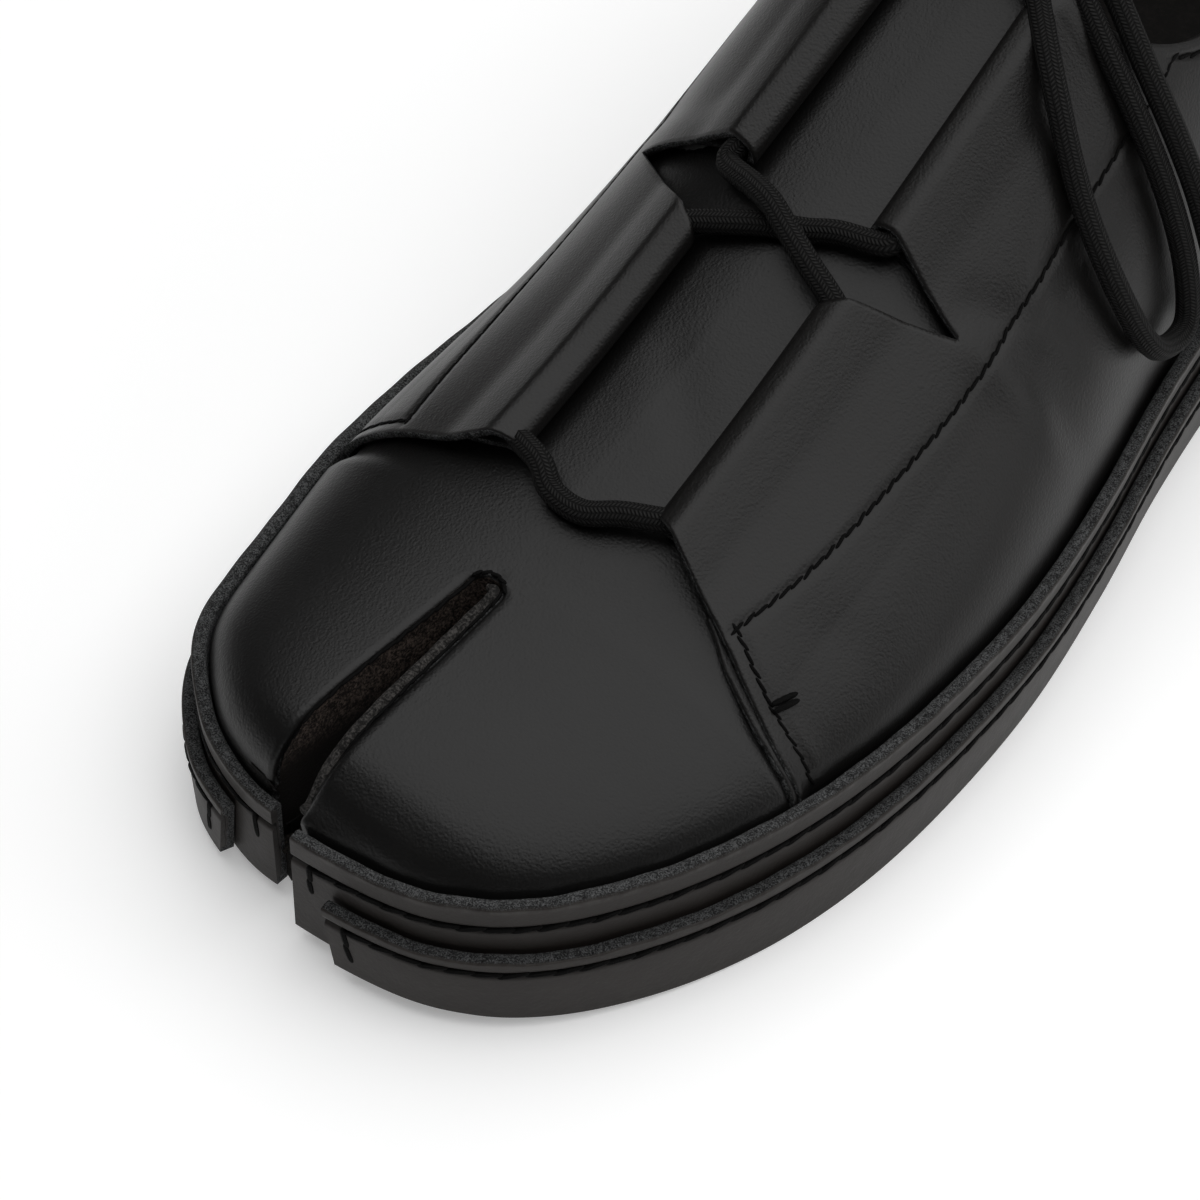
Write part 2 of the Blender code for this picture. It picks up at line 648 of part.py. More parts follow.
over = [in_tunnel(MEDIAL, 109.0), in_tunnel(MEDIAL, 105.6), in_tunnel(MEDIAL, 102.6), surface_point(2.4, 100.0, 4.4),
        surface_point(9.5, 97.6, 5.1), surface_point(15.8, 96.3, 4.7), in_tunnel(LATERAL, 93.9),
        in_tunnel(LATERAL, 90.0), in_tunnel(LATERAL, 86.0)]
under = [in_tunnel(MEDIAL, 87.0), in_tunnel(MEDIAL, 91.0), in_tunnel(MEDIAL, 94.8), surface_point(2.6, 97.0, 2.7),
         surface_point(9.5, 97.6, 2.1), surface_point(15.5, 98.2, 2.6), in_tunnel(LATERAL, 100.0),
         in_tunnel(LATERAL, 103.0), in_tunnel(LATERAL, 107.0)]
cross = cord_as_mesh("lace_cross", over, lace_cotton, shoe)
strand = cord_as_mesh("lace_cross_under", under, lace_cotton, shoe)
shoe.objects.link(cross)
cutters.objects.link(strand)
strand.hide_render = True
strand.display_type = "WIRE"
cut(cross, strand, "UNION")

top_bar = [in_tunnel(MEDIAL, 125.0), in_tunnel(MEDIAL, 129.6), in_tunnel(MEDIAL, 132.6),
           surface_point(3.4, 136.2, 3.4), surface_point(10.0, 137.4, 2.1), surface_point(16.6, 136.2, 3.4),
           in_tunnel(LATERAL, 132.6), in_tunnel(LATERAL, 129.6), in_tunnel(LATERAL, 125.0)]
cord("lace_top_bar", top_bar, lace_cotton, shoe)

knot_mesh = bmesh.new()
bmesh.ops.create_uvsphere(knot_mesh, u_segments=12, v_segments=7, radius=1.0)
bmesh.ops.scale(knot_mesh, vec=KNOT_RADII, verts=knot_mesh.verts)
bmesh.ops.translate(knot_mesh, vec=surface_point(*KNOT_PLACE), verts=knot_mesh.verts)
add_object("lace_knot", mesh_from(knot_mesh, "lace_knot"), lace_cotton, shoe)
for name, route in BOW.items():
    cord(name, route, lace_cotton, shoe)
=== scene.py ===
import math

import bmesh
import bpy
import numpy as np
from mathutils import Matrix, Vector


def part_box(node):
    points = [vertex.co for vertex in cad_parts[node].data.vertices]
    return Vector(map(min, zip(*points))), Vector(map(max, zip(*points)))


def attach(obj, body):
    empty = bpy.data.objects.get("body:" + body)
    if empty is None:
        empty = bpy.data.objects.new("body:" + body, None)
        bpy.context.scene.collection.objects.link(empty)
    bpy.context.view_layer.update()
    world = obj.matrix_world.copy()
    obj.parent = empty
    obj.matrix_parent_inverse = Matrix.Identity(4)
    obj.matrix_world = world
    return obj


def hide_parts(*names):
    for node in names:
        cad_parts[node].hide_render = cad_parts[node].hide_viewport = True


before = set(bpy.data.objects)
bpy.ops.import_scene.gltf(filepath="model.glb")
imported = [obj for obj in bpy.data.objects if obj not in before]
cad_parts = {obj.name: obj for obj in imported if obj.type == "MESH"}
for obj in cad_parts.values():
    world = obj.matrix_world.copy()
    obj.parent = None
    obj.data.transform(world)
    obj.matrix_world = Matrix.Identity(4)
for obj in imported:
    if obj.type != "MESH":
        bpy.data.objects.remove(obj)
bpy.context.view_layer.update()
scene = bpy.context.scene

# Outsole: a flat board of firm sole leather with a notch at the split, cut to the outline and stitched
# into the strips that stand round it. Its cut edge is rough and fibrous.
MM = 0.001


class Wire:
    """One socket of a material's node tree; arithmetic on it adds Math nodes."""

    def __init__(self, tree, socket=None):
        self.tree = tree
        self.socket = socket

    def node(self, kind, sockets=(), output=0, **settings):
        """New node: its settings first, then the values or links of its sockets."""
        made = self.tree.nodes.new("ShaderNode" + kind)
        for key, value in settings.items():
            setattr(made, key, value)
        for key, value in dict(sockets).items():
            if isinstance(value, Wire):
                self.tree.links.new(value.socket, made.inputs[key])
            else:
                made.inputs[key].default_value = value
        return Wire(self.tree, made.outputs[output])

    def maths(self, operation, other=0.0):
        """Math node on this wire."""
        return self.node("Math", {0: self, 1: other}, operation=operation)

    def __add__(self, other):
        return self.maths("ADD", other)

    def __sub__(self, other):
        return self.maths("SUBTRACT", other)

    def __rsub__(self, other):
        return self.node("Math", {0: other, 1: self}, operation="SUBTRACT")

    def __mul__(self, other):
        return self.maths("MULTIPLY", other)

    __radd__ = __add__
    __rmul__ = __mul__

    def between(self, low, high):
        """0 below low, 1 above high."""
        return self.node("MapRange", {0: self, 1: low, 2: high}, interpolation_type="SMOOTHSTEP")

    def axis(self, number):
        """One part of a vector."""
        return self.node("SeparateXYZ", {0: self}, number)

    def noise(self, per_mm, detail=3.0, rough=0.55):
        """Even noise."""
        return self.node("TexNoise", {"Vector": self, "Scale": per_mm, "Detail": detail, "Roughness": rough})

    def cells(self, per_mm, feature="F1"):
        """Cell pattern."""
        return self.node("TexVoronoi", {"Vector": self, "Scale": per_mm}, feature=feature)

    def mix(self, first, second):
        """Colour between two colours."""
        shades = [shade if isinstance(shade, Wire) else (*shade, 1.0) for shade in (first, second)]
        return self.node("Mix", {0: self, 6: shades[0], 7: shades[1]}, 2, data_type="RGBA")


def start_finish(name, constants):
    """New material with its constant values, its shader, and the place on it in millimetres."""
    made = bpy.data.materials.new(name)
    made.use_nodes = True
    shader = made.node_tree.nodes["Principled BSDF"]
    for key, value in constants.items():
        shader.inputs[key].default_value = value
    spot = Wire(made.node_tree).node("TexCoord", output="Object")
    return made, shader, spot.node("VectorMath", {0: spot, 1: (1.0 / MM,) * 3}, operation="MULTIPLY")


def end_finish(made, shader, colour, roughness, relief, depth):
    """Links what varies; relief is a height and depth its size in millimetres."""
    bump = relief.node("Bump", {"Height": relief, "Strength": 1.0, "Distance": depth * MM})
    for key, wire in (("Base Color", colour), ("Roughness", roughness), ("Normal", bump)):
        made.node_tree.links.new(wire.socket, shader.inputs[key])
    return made


def rough_leather(name, dark, pale, fibre, depth, shade_below=None, shade_run=7.0):
    """Raw, fibrous leather, speckled with pale fibre ends; below a given height the speckle fades out as
    painted shade.
    """
    made, shader, mm = start_finish(name, {"Specular IOR Level": 0.15})
    fibres = mm.noise(fibre, 4.0, 0.7)
    clumps = mm.noise(fibre * 0.28, 2.0)
    speckle = (fibres * 0.75 + clumps * 0.25).between(0.42, 0.66)
    # Painted shade: the pale speckle fades out over a run below the given height, so the lower part stays
    # dark.
    if shade_below is not None:
        speckle = speckle * mm.axis(2).between(shade_below - shade_run, shade_below)
    return end_finish(made, shader, speckle.mix(dark, pale), fibres * 0.2 + 0.72, fibres, depth)


def refinish(node, material):
    """Gives a solid that keeps its shape a new finish."""
    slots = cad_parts[node].data.materials
    slots.clear()
    slots.append(material)


edge_leather = rough_leather("raw_edge_leather", (0.006, 0.006, 0.006), (0.110, 0.112, 0.113), 3.4, 0.42)
refinish("outsole", rough_leather("sole_leather", (0.009, 0.008, 0.007), (0.040, 0.034, 0.029), 2.2, 0.35))

# Inner and outer strip: two bands of thick vegetable leather that stand round the foot of the upper,
# the outer one lower, each stitched through near its top, with a raw top edge and a smooth face.
# Sizes are in millimetres from the toe: x across to the lateral side, y back along the foot, z up.
LATERAL = 1
MEDIAL = -1
LENGTH = 260.0
HEEL_RADIUS = 35.0
HEEL_CENTRE_X = 7.0
HEEL_CENTRE_Y = LENGTH - HEEL_RADIUS
LOBE_REACH = 1.8
LOBE_RUN = 50.0
GAP = 0.3
RAND_LEAN = 0.13
LEAN_RUN = {LATERAL: (15.0, 115.0), MEDIAL: (68.0, 130.0)}
TOE_LEAN = 0.09
TOE_LEAN_AT = 18.0
TOE_LEAN_RUN = 12.0
RIM_STEP = 0.004
TOE_SPRING = 3.0
SPRING_RUN = 48.0
RAND_SPRING_SHARE = 0.35
RAND_THICKNESS = 2.0
RAND_OUTER_HEIGHT = 12.4
RAND_ROUND = 0.35
RAND_CROWN = 0.12
RAND_ROW = 0.8
DIP = {LATERAL: 0.05, MEDIAL: 0.18}
DIP_RUN = 34.0
END_SLANT = 1.7
GROOVE_SHARE = 0.80
GROOVE_DEPTH = 0.55
GROOVE_WIDTH = 0.55
GROOVE_REACH = 1.2
WAVE_DOWN = 0.6
SHARP_ANGLE = math.radians(50.0)

# Each strip: its solid, how far in it stands, its height, how far short of the split its ends stop and the
# length of the upright stitch there
STRIPS = (
    ("rand_inner", RAND_THICKNESS + GAP, 20.8, (0.0, 0.0), 5.4),
    ("rand_outer", 0.0, RAND_OUTER_HEIGHT, (6.4, 7.6), 6.8),
)

# Plan of the sole on the floor: y, medial edge, lateral edge
PLAN = (
    (0, -0.4, 5.7), (1.4, -8.2, 22.6), (5, -15.4, 32.2), (10, -20.6, 38.8), (18, -26.2, 45.3),
    (28, -29.9, 50.8), (40, -32.7, 55.1), (55, -34.8, 57.9), (72, -34.7, 58.6), (90, -32.9, 57.6),
    (110, -30.8, 54.2), (130, -28.8, 49.8), (150, -27.3, 46.6), (175, -26.7, 44),
    (200, -27.4, 42.8), (225, -28, 42),
)


def unit(value):
    """Value held between 0 and 1."""
    return np.clip(value, 0.0, 1.0)


def ramp(value, start, end):
    """Smooth step from 0 at start to 1 at end."""
    share = unit((value - start) / (end - start))
    return share * share * (3.0 - 2.0 * share)


def read_table(rows, column, at, warp=np.asarray):
    """Smooth value of a table's column, by its first column."""
    table = np.array(rows)
    keys, values = warp(table[:, 0]), table[:, column]
    order = np.arange(len(keys))
    before, after = np.maximum(order - 1, 0), np.minimum(order + 1, len(keys) - 1)
    slopes = (values[after] - values[before]) / (keys[after] - keys[before])
    at = np.clip(warp(np.asarray(at)), keys[0], keys[-1])
    i = np.clip(np.searchsorted(keys, at, "right") - 1, 0, len(keys) - 2)
    span = keys[i + 1] - keys[i]
    s = (at - keys[i]) / span
    return (values[i] * (1 + 2 * s) * (1 - s) ** 2 + slopes[i] * span * s * (1 - s) ** 2
            + values[i + 1] * s * s * (3 - 2 * s) + slopes[i + 1] * span * s * s * (s - 1))


def length_along(points):
    """Distance along a line of points, from 0 at its first."""
    return np.concatenate(([0.0], np.cumsum(np.linalg.norm(np.diff(points, axis=0), axis=1))))


def round_ends(y):
    """Angle that spreads the blunt toe out."""
    return np.arccos(np.clip(1.0 - 2.0 * y / LENGTH, -1.0, 1.0))


HEEL_ANGLE = float(round_ends(HEEL_CENTRE_Y))


def station_at(y):
    """Station along the sole: 0 is the toe, 1 the start of the heel's round, 2 its back."""
    return round_ends(y) / HEEL_ANGLE


def outline(side, station):
    """Point of the sole's outline on the floor."""
    turn = unit(station - 1.0) * math.pi / 2.0
    y = LENGTH * (1.0 - np.cos(np.minimum(station, 1.0) * HEEL_ANGLE)) / 2.0
    x = np.where(side > 0, read_table(PLAN, 2, y, round_ends), read_table(PLAN, 1, y, round_ends))
    y = y - side * LOBE_REACH * np.maximum(0.0, 1.0 - y / LOBE_RUN) ** 2
    heel = station > 1.0
    x = np.where(heel, HEEL_CENTRE_X + side * HEEL_RADIUS * np.cos(turn), x)
    return x, np.where(heel, HEEL_CENTRE_Y + HEEL_RADIUS * np.sin(turn), y)


def rim(side, station, inset, z=0.0):
    """Point set in from the outline; the wall leans out as it rises."""
    bx, by = outline(side, np.maximum(station - RIM_STEP, 0.0))
    ax, ay = outline(side, np.minimum(station + RIM_STEP, 2.0))
    size = np.hypot(ax - bx, ay - by)
    x, y = outline(side, station)
    toe_lean = np.where(side > 0, 0.0, TOE_LEAN) * np.exp(-((y - TOE_LEAN_AT) / TOE_LEAN_RUN) ** 2)
    lean = RAND_LEAN * np.where(side > 0, ramp(y, *LEAN_RUN[LATERAL]), ramp(y, *LEAN_RUN[MEDIAL]))
    inward = inset - (lean + toe_lean) * z
    return x - side * inward * (ay - by) / size, y + side * inward * (ax - bx) / size


# The frame's origin in these millimetres, from where the outer strip's solid ends at its side and back
heel_back = LENGTH + RAND_LEAN * RAND_OUTER_HEIGHT
widest = float(np.max(rim(LATERAL, np.linspace(0.2, 0.8, 601), 0.0, RAND_OUTER_HEIGHT)[0]))
rand_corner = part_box("rand_outer")[1]
ORIGIN = Vector((widest - rand_corner.x / MM, heel_back - rand_corner.y / MM, 0.0))


def stand(name, data):
    """New object in the scene."""
    made = bpy.data.objects.new(name, data)
    scene.collection.objects.link(made)
    return made


def finish_piece(bm, name, slot, materials, *nodes):
    """Object of a bmesh in millimetres from the toe, in the frame's metres, riding on the shoe."""
    bmesh.ops.translate(bm, vec=-ORIGIN, verts=bm.verts)
    bmesh.ops.scale(bm, vec=(MM, MM, MM), verts=bm.verts)
    mesh = bpy.data.meshes.new(name)
    bm.to_mesh(mesh)
    bm.free()
    for material in materials:
        mesh.materials.append(material)
    mesh.shade_smooth()
    mesh.set_sharp_from_angle(angle=SHARP_ANGLE)
    piece = stand(name, mesh)
    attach(piece, "root")
    if nodes:
        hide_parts(*nodes)
    return piece


def lay_grid(bm, columns, rows, place, spread=lambda u, v: (u, v)):
    """Adds a grid, u and v from 0 to 1, whose points place(u, v) gives and whose map spread(u, v)."""
    uv = bm.loops.layers.uv.get("UVMap") or bm.loops.layers.uv.new("UVMap")
    made = bmesh.ops.create_grid(bm, x_segments=columns, y_segments=rows, size=0.5, calc_uvs=False)["verts"]
    u, v = (np.array([vert.co.xy for vert in made]) + 0.5).T
    for vert, *point in zip(made, *np.broadcast_arrays(*place(u, v))):
        vert.co = point
    maps = dict(zip(made, zip(*spread(u, v))))
    for face in {face for vert in made for face in vert.link_faces}:
        for loop in face.loops:
            loop[uv].uv = maps[loop.vert]


def close_ends(bm):
    """Merges seams, caps open ends and turns the faces outwards."""
    bmesh.ops.remove_doubles(bm, verts=bm.verts, dist=0.001)
    bmesh.ops.holes_fill(bm, edges=[edge for edge in bm.edges if edge.is_boundary], sides=0)
    bmesh.ops.recalc_face_normals(bm, faces=bm.faces)


def rand_run(inset):
    """Stations round the sole from one side of the split to the other, and the length to each."""
    station = np.linspace(0.0, 4.0, 4001)
    side = np.where(station <= 2.0, LATERAL, MEDIAL)
    return station, length_along(np.transpose(rim(side, np.minimum(station, 4.0 - station), inset)))


def rand_point(inset, share, starts, inward, z):
    """Point of a strip: share along it, depth in and height."""
    station, run = rand_run(inset)
    slant = END_SLANT * (1.0 - unit(z / RAND_OUTER_HEIGHT)) * (inset == 0.0)
    along = starts[0] + slant + share * (run[-1] - sum(starts) - 2.0 * slant)
    here = np.interp(along, run, station)
    side = np.where(here <= 2.0, LATERAL, MEDIAL)
    to_end = np.where(side > 0, along, run[-1] - along)
    dip = np.where(side > 0, DIP[LATERAL], DIP[MEDIAL]) * (1.0 - ramp(to_end, 0.0, DIP_RUN))
    z = z * (1.0 - dip * (inset > 0.0))
    x, y = rim(side, np.minimum(here, 4.0 - here), inset + inward, z)
    spring = TOE_SPRING * np.maximum(0.0, 1.0 - y / SPRING_RUN) ** 2
    share_of_spring = 1.0 - (1.0 - RAND_SPRING_SHARE) * unit(z / RAND_OUTER_HEIGHT)
    return x, y, z + spring * share_of_spring


def rand_profile(height):
    """Section of a strip: depth in and height, from the outer face's foot over the top."""
    r, t, groove = RAND_ROUND, RAND_THICKNESS, height * GROOVE_SHARE
    rows = [(0.0, height * share) for share in (0.0, 0.15, 0.3, 0.45)]
    for z in np.linspace(groove - GROOVE_REACH, groove + GROOVE_REACH, 9):
        rows.append((GROOVE_DEPTH * math.exp(-((z - groove) / GROOVE_WIDTH) ** 2), z))
    rows.append((0.0, height - 2.0 * r))
    rows += [(r - r * math.cos(a), height - r + r * math.sin(a)) for a in np.radians((0, 30, 60, 90))]
    rows += [(t * share, height + RAND_CROWN * math.sin(math.pi * share)) for share in (0.3, 0.45, 0.6, 0.75)]
    rows += [(t - r + r * math.cos(a), height - r + r * math.sin(a)) for a in np.radians((90, 45, 0))]
    rows += [(t, height * share) for share in (0.7, 0.35, 0.0)]
    return np.array([*rows, rows[0]])


def rand_leather():
    """Smooth brown-black face with painted shade in its groove and a painted highlight on a polished band
    below its arris; the top, past map 1, is raw.
    """
    made, shader, mm = start_finish("rand_leather", {"Specular IOR Level": 0.28})
    around = mm.node("UVMap", uv_map="UVMap").axis(1)
    fibres = mm.noise(4.6, 4.0, 0.75)
    raw = (around + (fibres - 0.5) * 0.04).between(0.985, 1.01)
    speckle = (fibres * 0.8 + mm.noise(1.1) * 0.2).between(0.43, 0.62)
    # Painted shade: the face turns near black in a band along the stitch groove. The band is also rougher.
    shaded_groove = 1.0 - (around - GROOVE_SHARE).maths("ABSOLUTE").between(0.006, 0.034)
    # Painted highlight on a polished band: paler colour just below the arris. The roughness is also lower
    # there.
    polish_and_highlight = around.between(0.93, 0.985) * mm.noise(0.35, 4.0, 0.7).between(0.35, 0.65)
    face = mm.noise(0.12, 4.0).mix((0.0115, 0.0092, 0.0080), (0.0205, 0.0166, 0.0144))
    face = (polish_and_highlight * 0.7).mix(shaded_groove.mix(face, (0.0022, 0.0019, 0.0018)), (0.040, 0.036, 0.033))
    fuzz = speckle.mix((0.006, 0.006, 0.0062), (0.135, 0.138, 0.140))
    relief = raw * fibres * 0.9 + (1.0 - raw) * (mm.noise(1.6, 4.0) * 0.12 + mm.noise(0.25) * 0.2)
    roughness = raw * 0.34 + shaded_groove * 0.3 + 0.50 - polish_and_highlight * 0.12 + mm.noise(0.5) * 0.08
    return end_finish(made, shader, raw.mix(face, fuzz), roughness, relief, 0.4)


rand_finish = rand_leather()


def rand(node, inset, height, starts):
    """One strip round the shoe, with a groove for its stitches."""
    profile = rand_profile(height)
    run = length_along(profile)
    arris = run[np.argmax(profile[:, 1] >= height - 0.001)]
    knots = np.linspace(0.0, 1.0, len(profile))
    length = rand_run(inset)[1][-1] - sum(starts)

    def place(u, v):
        inward, z = (np.interp(v, knots, column) for column in profile.T)
        wave = 0.10 * np.sin(u * length / 3.1) + 0.08 * np.sin(u * length / 1.27 + 1.0)
        return rand_point(inset, u, starts, inward, z + wave * ramp(z, height - WAVE_DOWN, height))

    def spread(u, v):
        return u * length, np.interp(v, knots, run) / arris

    bm = bmesh.new()
    lay_grid(bm, int(length / RAND_ROW), len(profile) - 1, place, spread)
    close_ends(bm)
    finish_piece(bm, node + "_strip", "rand_leather", [rand_finish], node)


for node, inset, height, starts, _ in STRIPS:
    rand(node, inset, height, starts)

# Insole: a thin leather board on the outsole, split at the toe like it and glued down. Its upper face,
# which the foot rests on, is smooth and black.
smooth_board = rough_leather("insole_leather", (0.0042, 0.0038, 0.0034), (0.0095, 0.0082, 0.0074), 1.2, 0.12)
refinish("insole", smooth_board)

# Vamp: one piece of smooth black leather drawn over the last, with a lobe on each side of the split. It runs
# back between the quarters as the tongue. Its edges at the split are turned down and sewn to the gusset.
VAMP_THICKNESS = 1.3
QUARTER_THICKNESS = 1.4
UPPER_INSET = 2.0 * (RAND_THICKNESS + GAP)
ROOM = QUARTER_THICKNESS + 1.6 * GAP
ROOM_RUN = (-3.5, 0.5)
FRONT_LOW = {LATERAL: 45.0, MEDIAL: 52.0}
SPRING_LINE = 19.5
HEEL_LEAN = 5.0
HEEL_LEAN_FROM = 25.0
HEEL_LEAN_RUN = 45.0
DOME_LEAST = 4.0
LOBE_HOLD = 0.4
SLOT_END = 41.5
SLOT_FADE = (SLOT_END - 2.0, SLOT_END + 2.5)
SLOT_CENTRE = 3.0
SLOT_SLANT = 0.065
SLOT_DRIFT = 2.2
SLOT_HALF_FRONT = 4.0
SLOT_HALF_BACK = 2.1
SLOT_NARROWS_FROM = 6.0
SLOT_NOSE = 2.0
SLOT_LEVELS = ((-12.0, 0.55), (62.0, 1.35))
TONGUE_HALF_WIDTH = 17.0
TONGUE_END = 150.0
TONGUE_TAPER = 5.0
TONGUE_TAPER_FROM = 141.0
TONGUE_LEAVES = (104.0, 126.0)
LAST_HALF_WIDTH = 45.0
VAMP_FOOT = 8.0
FOOT_SHARE = 0.06
FOOT_LEAVES = (100.0, 112.0)
VAMP_ROWS = 230
VAMP_COLUMNS = 68
LIP_ROUND = 0.9
HALVINGS = 30

# Share of the vamp's rows in front of a place y along the foot: they crowd on the toe lobes
VAMP_CROWDING = ((0.16, 12.0), (0.42, 33.0), (0.60, 44.0), (1.0, TONGUE_END))

# Top line of the last: y, x and z of its ridge, and how full its section is on the medial and lateral side
RIDGE = (
    (4.6, 3, 21.5, 2.6, 2.6), (6.5, 3.2, 24.2, 2.5, 2.5), (9, 3.5, 26.4, 2.4, 2.4),
    (13, 4, 28.4, 2.3, 2.3), (20, 4.6, 29.8, 2.2, 2.2), (30, 5.3, 31, 2.1, 2.1),
    (42, 6.2, 32.8, 2, 2), (57, 7.2, 36.6, 1.6, 1.9), (75, 8.2, 42, 1.5, 1.9),
    (95, 9, 49.3, 1.8, 1.9), (115, 9.6, 57.2, 2.45, 1.9), (135, 10, 65.6, 3.4, 2),
    (152, 10, 73.5, 3.1, 2), (170, 9.5, 84, 2.2, 2), (190, 8.5, 95, 2, 2),
    (215, 7.5, 105, 2, 2), (260, 7, 112, 2, 2),
)

# Main creases of the vamp and quarters: from x, y to x, y, half width and height
CREASES = (
    (46, 60, 49, 52, 6, -0.7), (34, 104, 44, 112, 3, -0.45),
    (37, 100, 47, 103, 3, 0.4), (40, 120, 46, 108, 5, -0.7),
    (30, 122, 41, 108, 5, 0.5), (6, 78, 15, 70, 3.5, -0.35),
    (-12, 110, -20, 112, 3, -0.35),
)


def base_inset(side, station):
    """How far in the upper stands; behind a quarter's front edge it makes room for it."""
    return UPPER_INSET + ROOM * ramp(outline(side, station)[1] - FRONT_LOW[side], *ROOM_RUN)


def last_point(station, turn, depth=0.0):
    """Point of the last: turn 0 is the lateral side, pi the medial side; depth is inward."""
    c, s = np.cos(turn), np.sin(turn)
    outer = c >= 0.0
    lateral, medial = (rim(side, station, base_inset(side, station) + depth, SPRING_LINE)
                       for side in (LATERAL, MEDIAL))
    y = (lateral[1] + medial[1]) / 2.0
    plain = (outline(LATERAL, station)[1] + outline(MEDIAL, station)[1]) / 2.0
    row_y = plain + UPPER_INSET * (1.0 - ramp(station, 0.0, 0.5))
    ridge_x, top = read_table(RIDGE, 1, row_y), read_table(RIDGE, 2, row_y)
    fullness = np.where(outer, read_table(RIDGE, 4, row_y), read_table(RIDGE, 3, row_y))
    low_x, low_y = np.where(outer, lateral[0], medial[0]), np.where(outer, lateral[1], medial[1])
    spring = np.minimum(SPRING_LINE, top - DOME_LEAST)
    x = ridge_x + (low_x - ridge_x) * np.abs(c) ** (2.0 / fullness)
    y = y + (low_y - y) * np.abs(c) ** LOBE_HOLD
    z = spring + (top - depth - spring) * s
    rise = np.maximum(0.0, (z - HEEL_LEAN_FROM) / HEEL_LEAN_RUN)
    return x, y - HEEL_LEAN * ramp(y, HEEL_CENTRE_Y - 10.0, LENGTH) * rise ** 2, z


def slot_middle(y):
    """Middle line of the split; at its front it drifts to the medial side."""
    return SLOT_CENTRE + SLOT_SLANT * y - SLOT_DRIFT * unit(1.0 - y / SLOT_END)


def slot_half(y, z):
    """Half the width of the split at a place: it narrows towards its round end."""
    (low, narrow), (high, wide) = SLOT_LEVELS
    width = narrow + (wide - narrow) * (z - low) / (high - low)
    nose = SLOT_NOSE * width
    half = np.interp(y, (SLOT_NARROWS_FROM, SLOT_END), (SLOT_HALF_FRONT, SLOT_HALF_BACK)) * width
    return half * np.sqrt(1.0 - unit((y - SLOT_END + nose) / nose) ** 2)


def halve(low, high, short):
    """Furthest value from low to high that is still short of a mark."""
    for _ in range(HALVINGS):
        middle = (low + high) / 2.0
        near = short(middle)
        low, high = np.where(near, middle, low), np.where(near, high, middle)
    return low


def lip_turn(side, station):
    """Turn at one lip of the split, or at its middle line behind the split."""
    def short(turn):
        x, y, z = last_point(station, turn)
        return x > slot_middle(y) + side * slot_half(y, z)
    return halve(np.zeros_like(station), np.full_like(station, math.pi), short)


def first_station(side):
    """Station where the rim of one toe lobe comes out from the split."""
    station = np.linspace(0.002, 0.2, 400)
    x, y, z = last_point(station, np.full_like(station, 0.0 if side > 0 else math.pi))
    clear = side * (x - slot_middle(y)) - slot_half(y, z)
    return float(station[np.argmax(clear > 0.15)])


def crease_height(x, y):
    """Height of the soft troughs and ridges at a place in plan."""
    height = np.zeros_like(x)
    for x0, y0, x1, y1, width, depth in CREASES:
        dx, dy = x1 - x0, y1 - y0
        along = ((x - x0) * dx + (y - y0) * dy) / (dx * dx + dy * dy)
        near = unit(along)
        away = np.hypot(x - x0 - near * dx, y - y0 - near * dy)
        height = height + depth * np.exp(-(away / width) ** 2)
    return height


def smooth_leather(name, dark, pale, gloss, grain):
    """Black calf with a fine pebble, satin where it is stretched, and a few specks of dust."""
    made, shader, mm = start_finish(name, {"Specular IOR Level": 0.31})
    clouds = mm.noise(0.05, 4.0)
    pebble = mm.cells(2.7, "SMOOTH_F1") * 0.6 + mm.noise(3.6, 3.0) * 0.4
    stretch = mm.noise(0.5, 2.0)
    dust = (mm.noise(0.7) - 0.62).between(0.0, 0.05) * (1.0 - mm.cells(0.11).between(0.008, 0.018))
    colour = dust.mix(clouds.mix(dark, pale), (0.16, 0.155, 0.15))
    roughness = clouds * 0.10 + pebble * 0.06 + gloss + 0.02
    return end_finish(made, shader, colour, roughness, pebble * grain + stretch * 0.03, 0.13)


def choose(mask, first, second):
    """Points of the first kind where the mask is set, else of the second."""
    return tuple(np.where(mask, a, b) for a, b in zip(first, second))


def vamp_half(side, bm):
    """One half of the vamp, from its foot inside the strips up to the lip or the middle line."""
    shares, places = zip(*VAMP_CROWDING)
    spots = [first_station(side), *(float(station_at(y)) for y in places)]
    foot = 0.0 if side > 0 else math.pi

    def place(u, v):
        station = np.interp(v, (0.0, *shares), spots)
        y = outline(side, station)[1]
        narrow = TONGUE_HALF_WIDTH - TONGUE_TAPER * ramp(y, TONGUE_TAPER_FROM, TONGUE_END)
        edge = np.arccos(np.clip(side * narrow / LAST_HALF_WIDTH, -1.0, 1.0))
        begin = foot + (edge - foot) * ramp(y, *TONGUE_LEAVES)
        below = unit(1.0 - u / FOOT_SHARE) * (1.0 - ramp(y, *FOOT_LEAVES))
        climb = unit((u - FOOT_SHARE) / (1.0 - FOOT_SHARE))
        turn = begin + (lip_turn(side, station) - begin) * climb
        x, y, z = last_point(station, turn)
        away = np.abs(x - slot_middle(y)) - slot_half(y, z)
        fall = np.clip(1.0 - away / LIP_ROUND, 0.0, 0.98)
        sink = (1.0 - ramp(y, *SLOT_FADE)) * LIP_ROUND * (1.0 - np.sqrt(1.0 - fall ** 2))
        foot_z = VAMP_FOOT + (SPRING_LINE - VAMP_FOOT) * (1.0 - below)
        low = (*rim(side, station, base_inset(side, station), foot_z), foot_z)
        return choose(below > 0.0, low, last_point(station, turn, sink - crease_height(x, y)))

    lay_grid(bm, VAMP_COLUMNS, VAMP_ROWS, place)


def leather_wall(piece, thickness):
    """Thickens a sheet inwards, with its second material on the flesh side and its third on the edges."""
    wall = piece.modifiers.new("thickness", "SOLIDIFY")
    wall.thickness = thickness * MM
    wall.offset = -1.0
    wall.material_offset = 1
    wall.material_offset_rim = 2


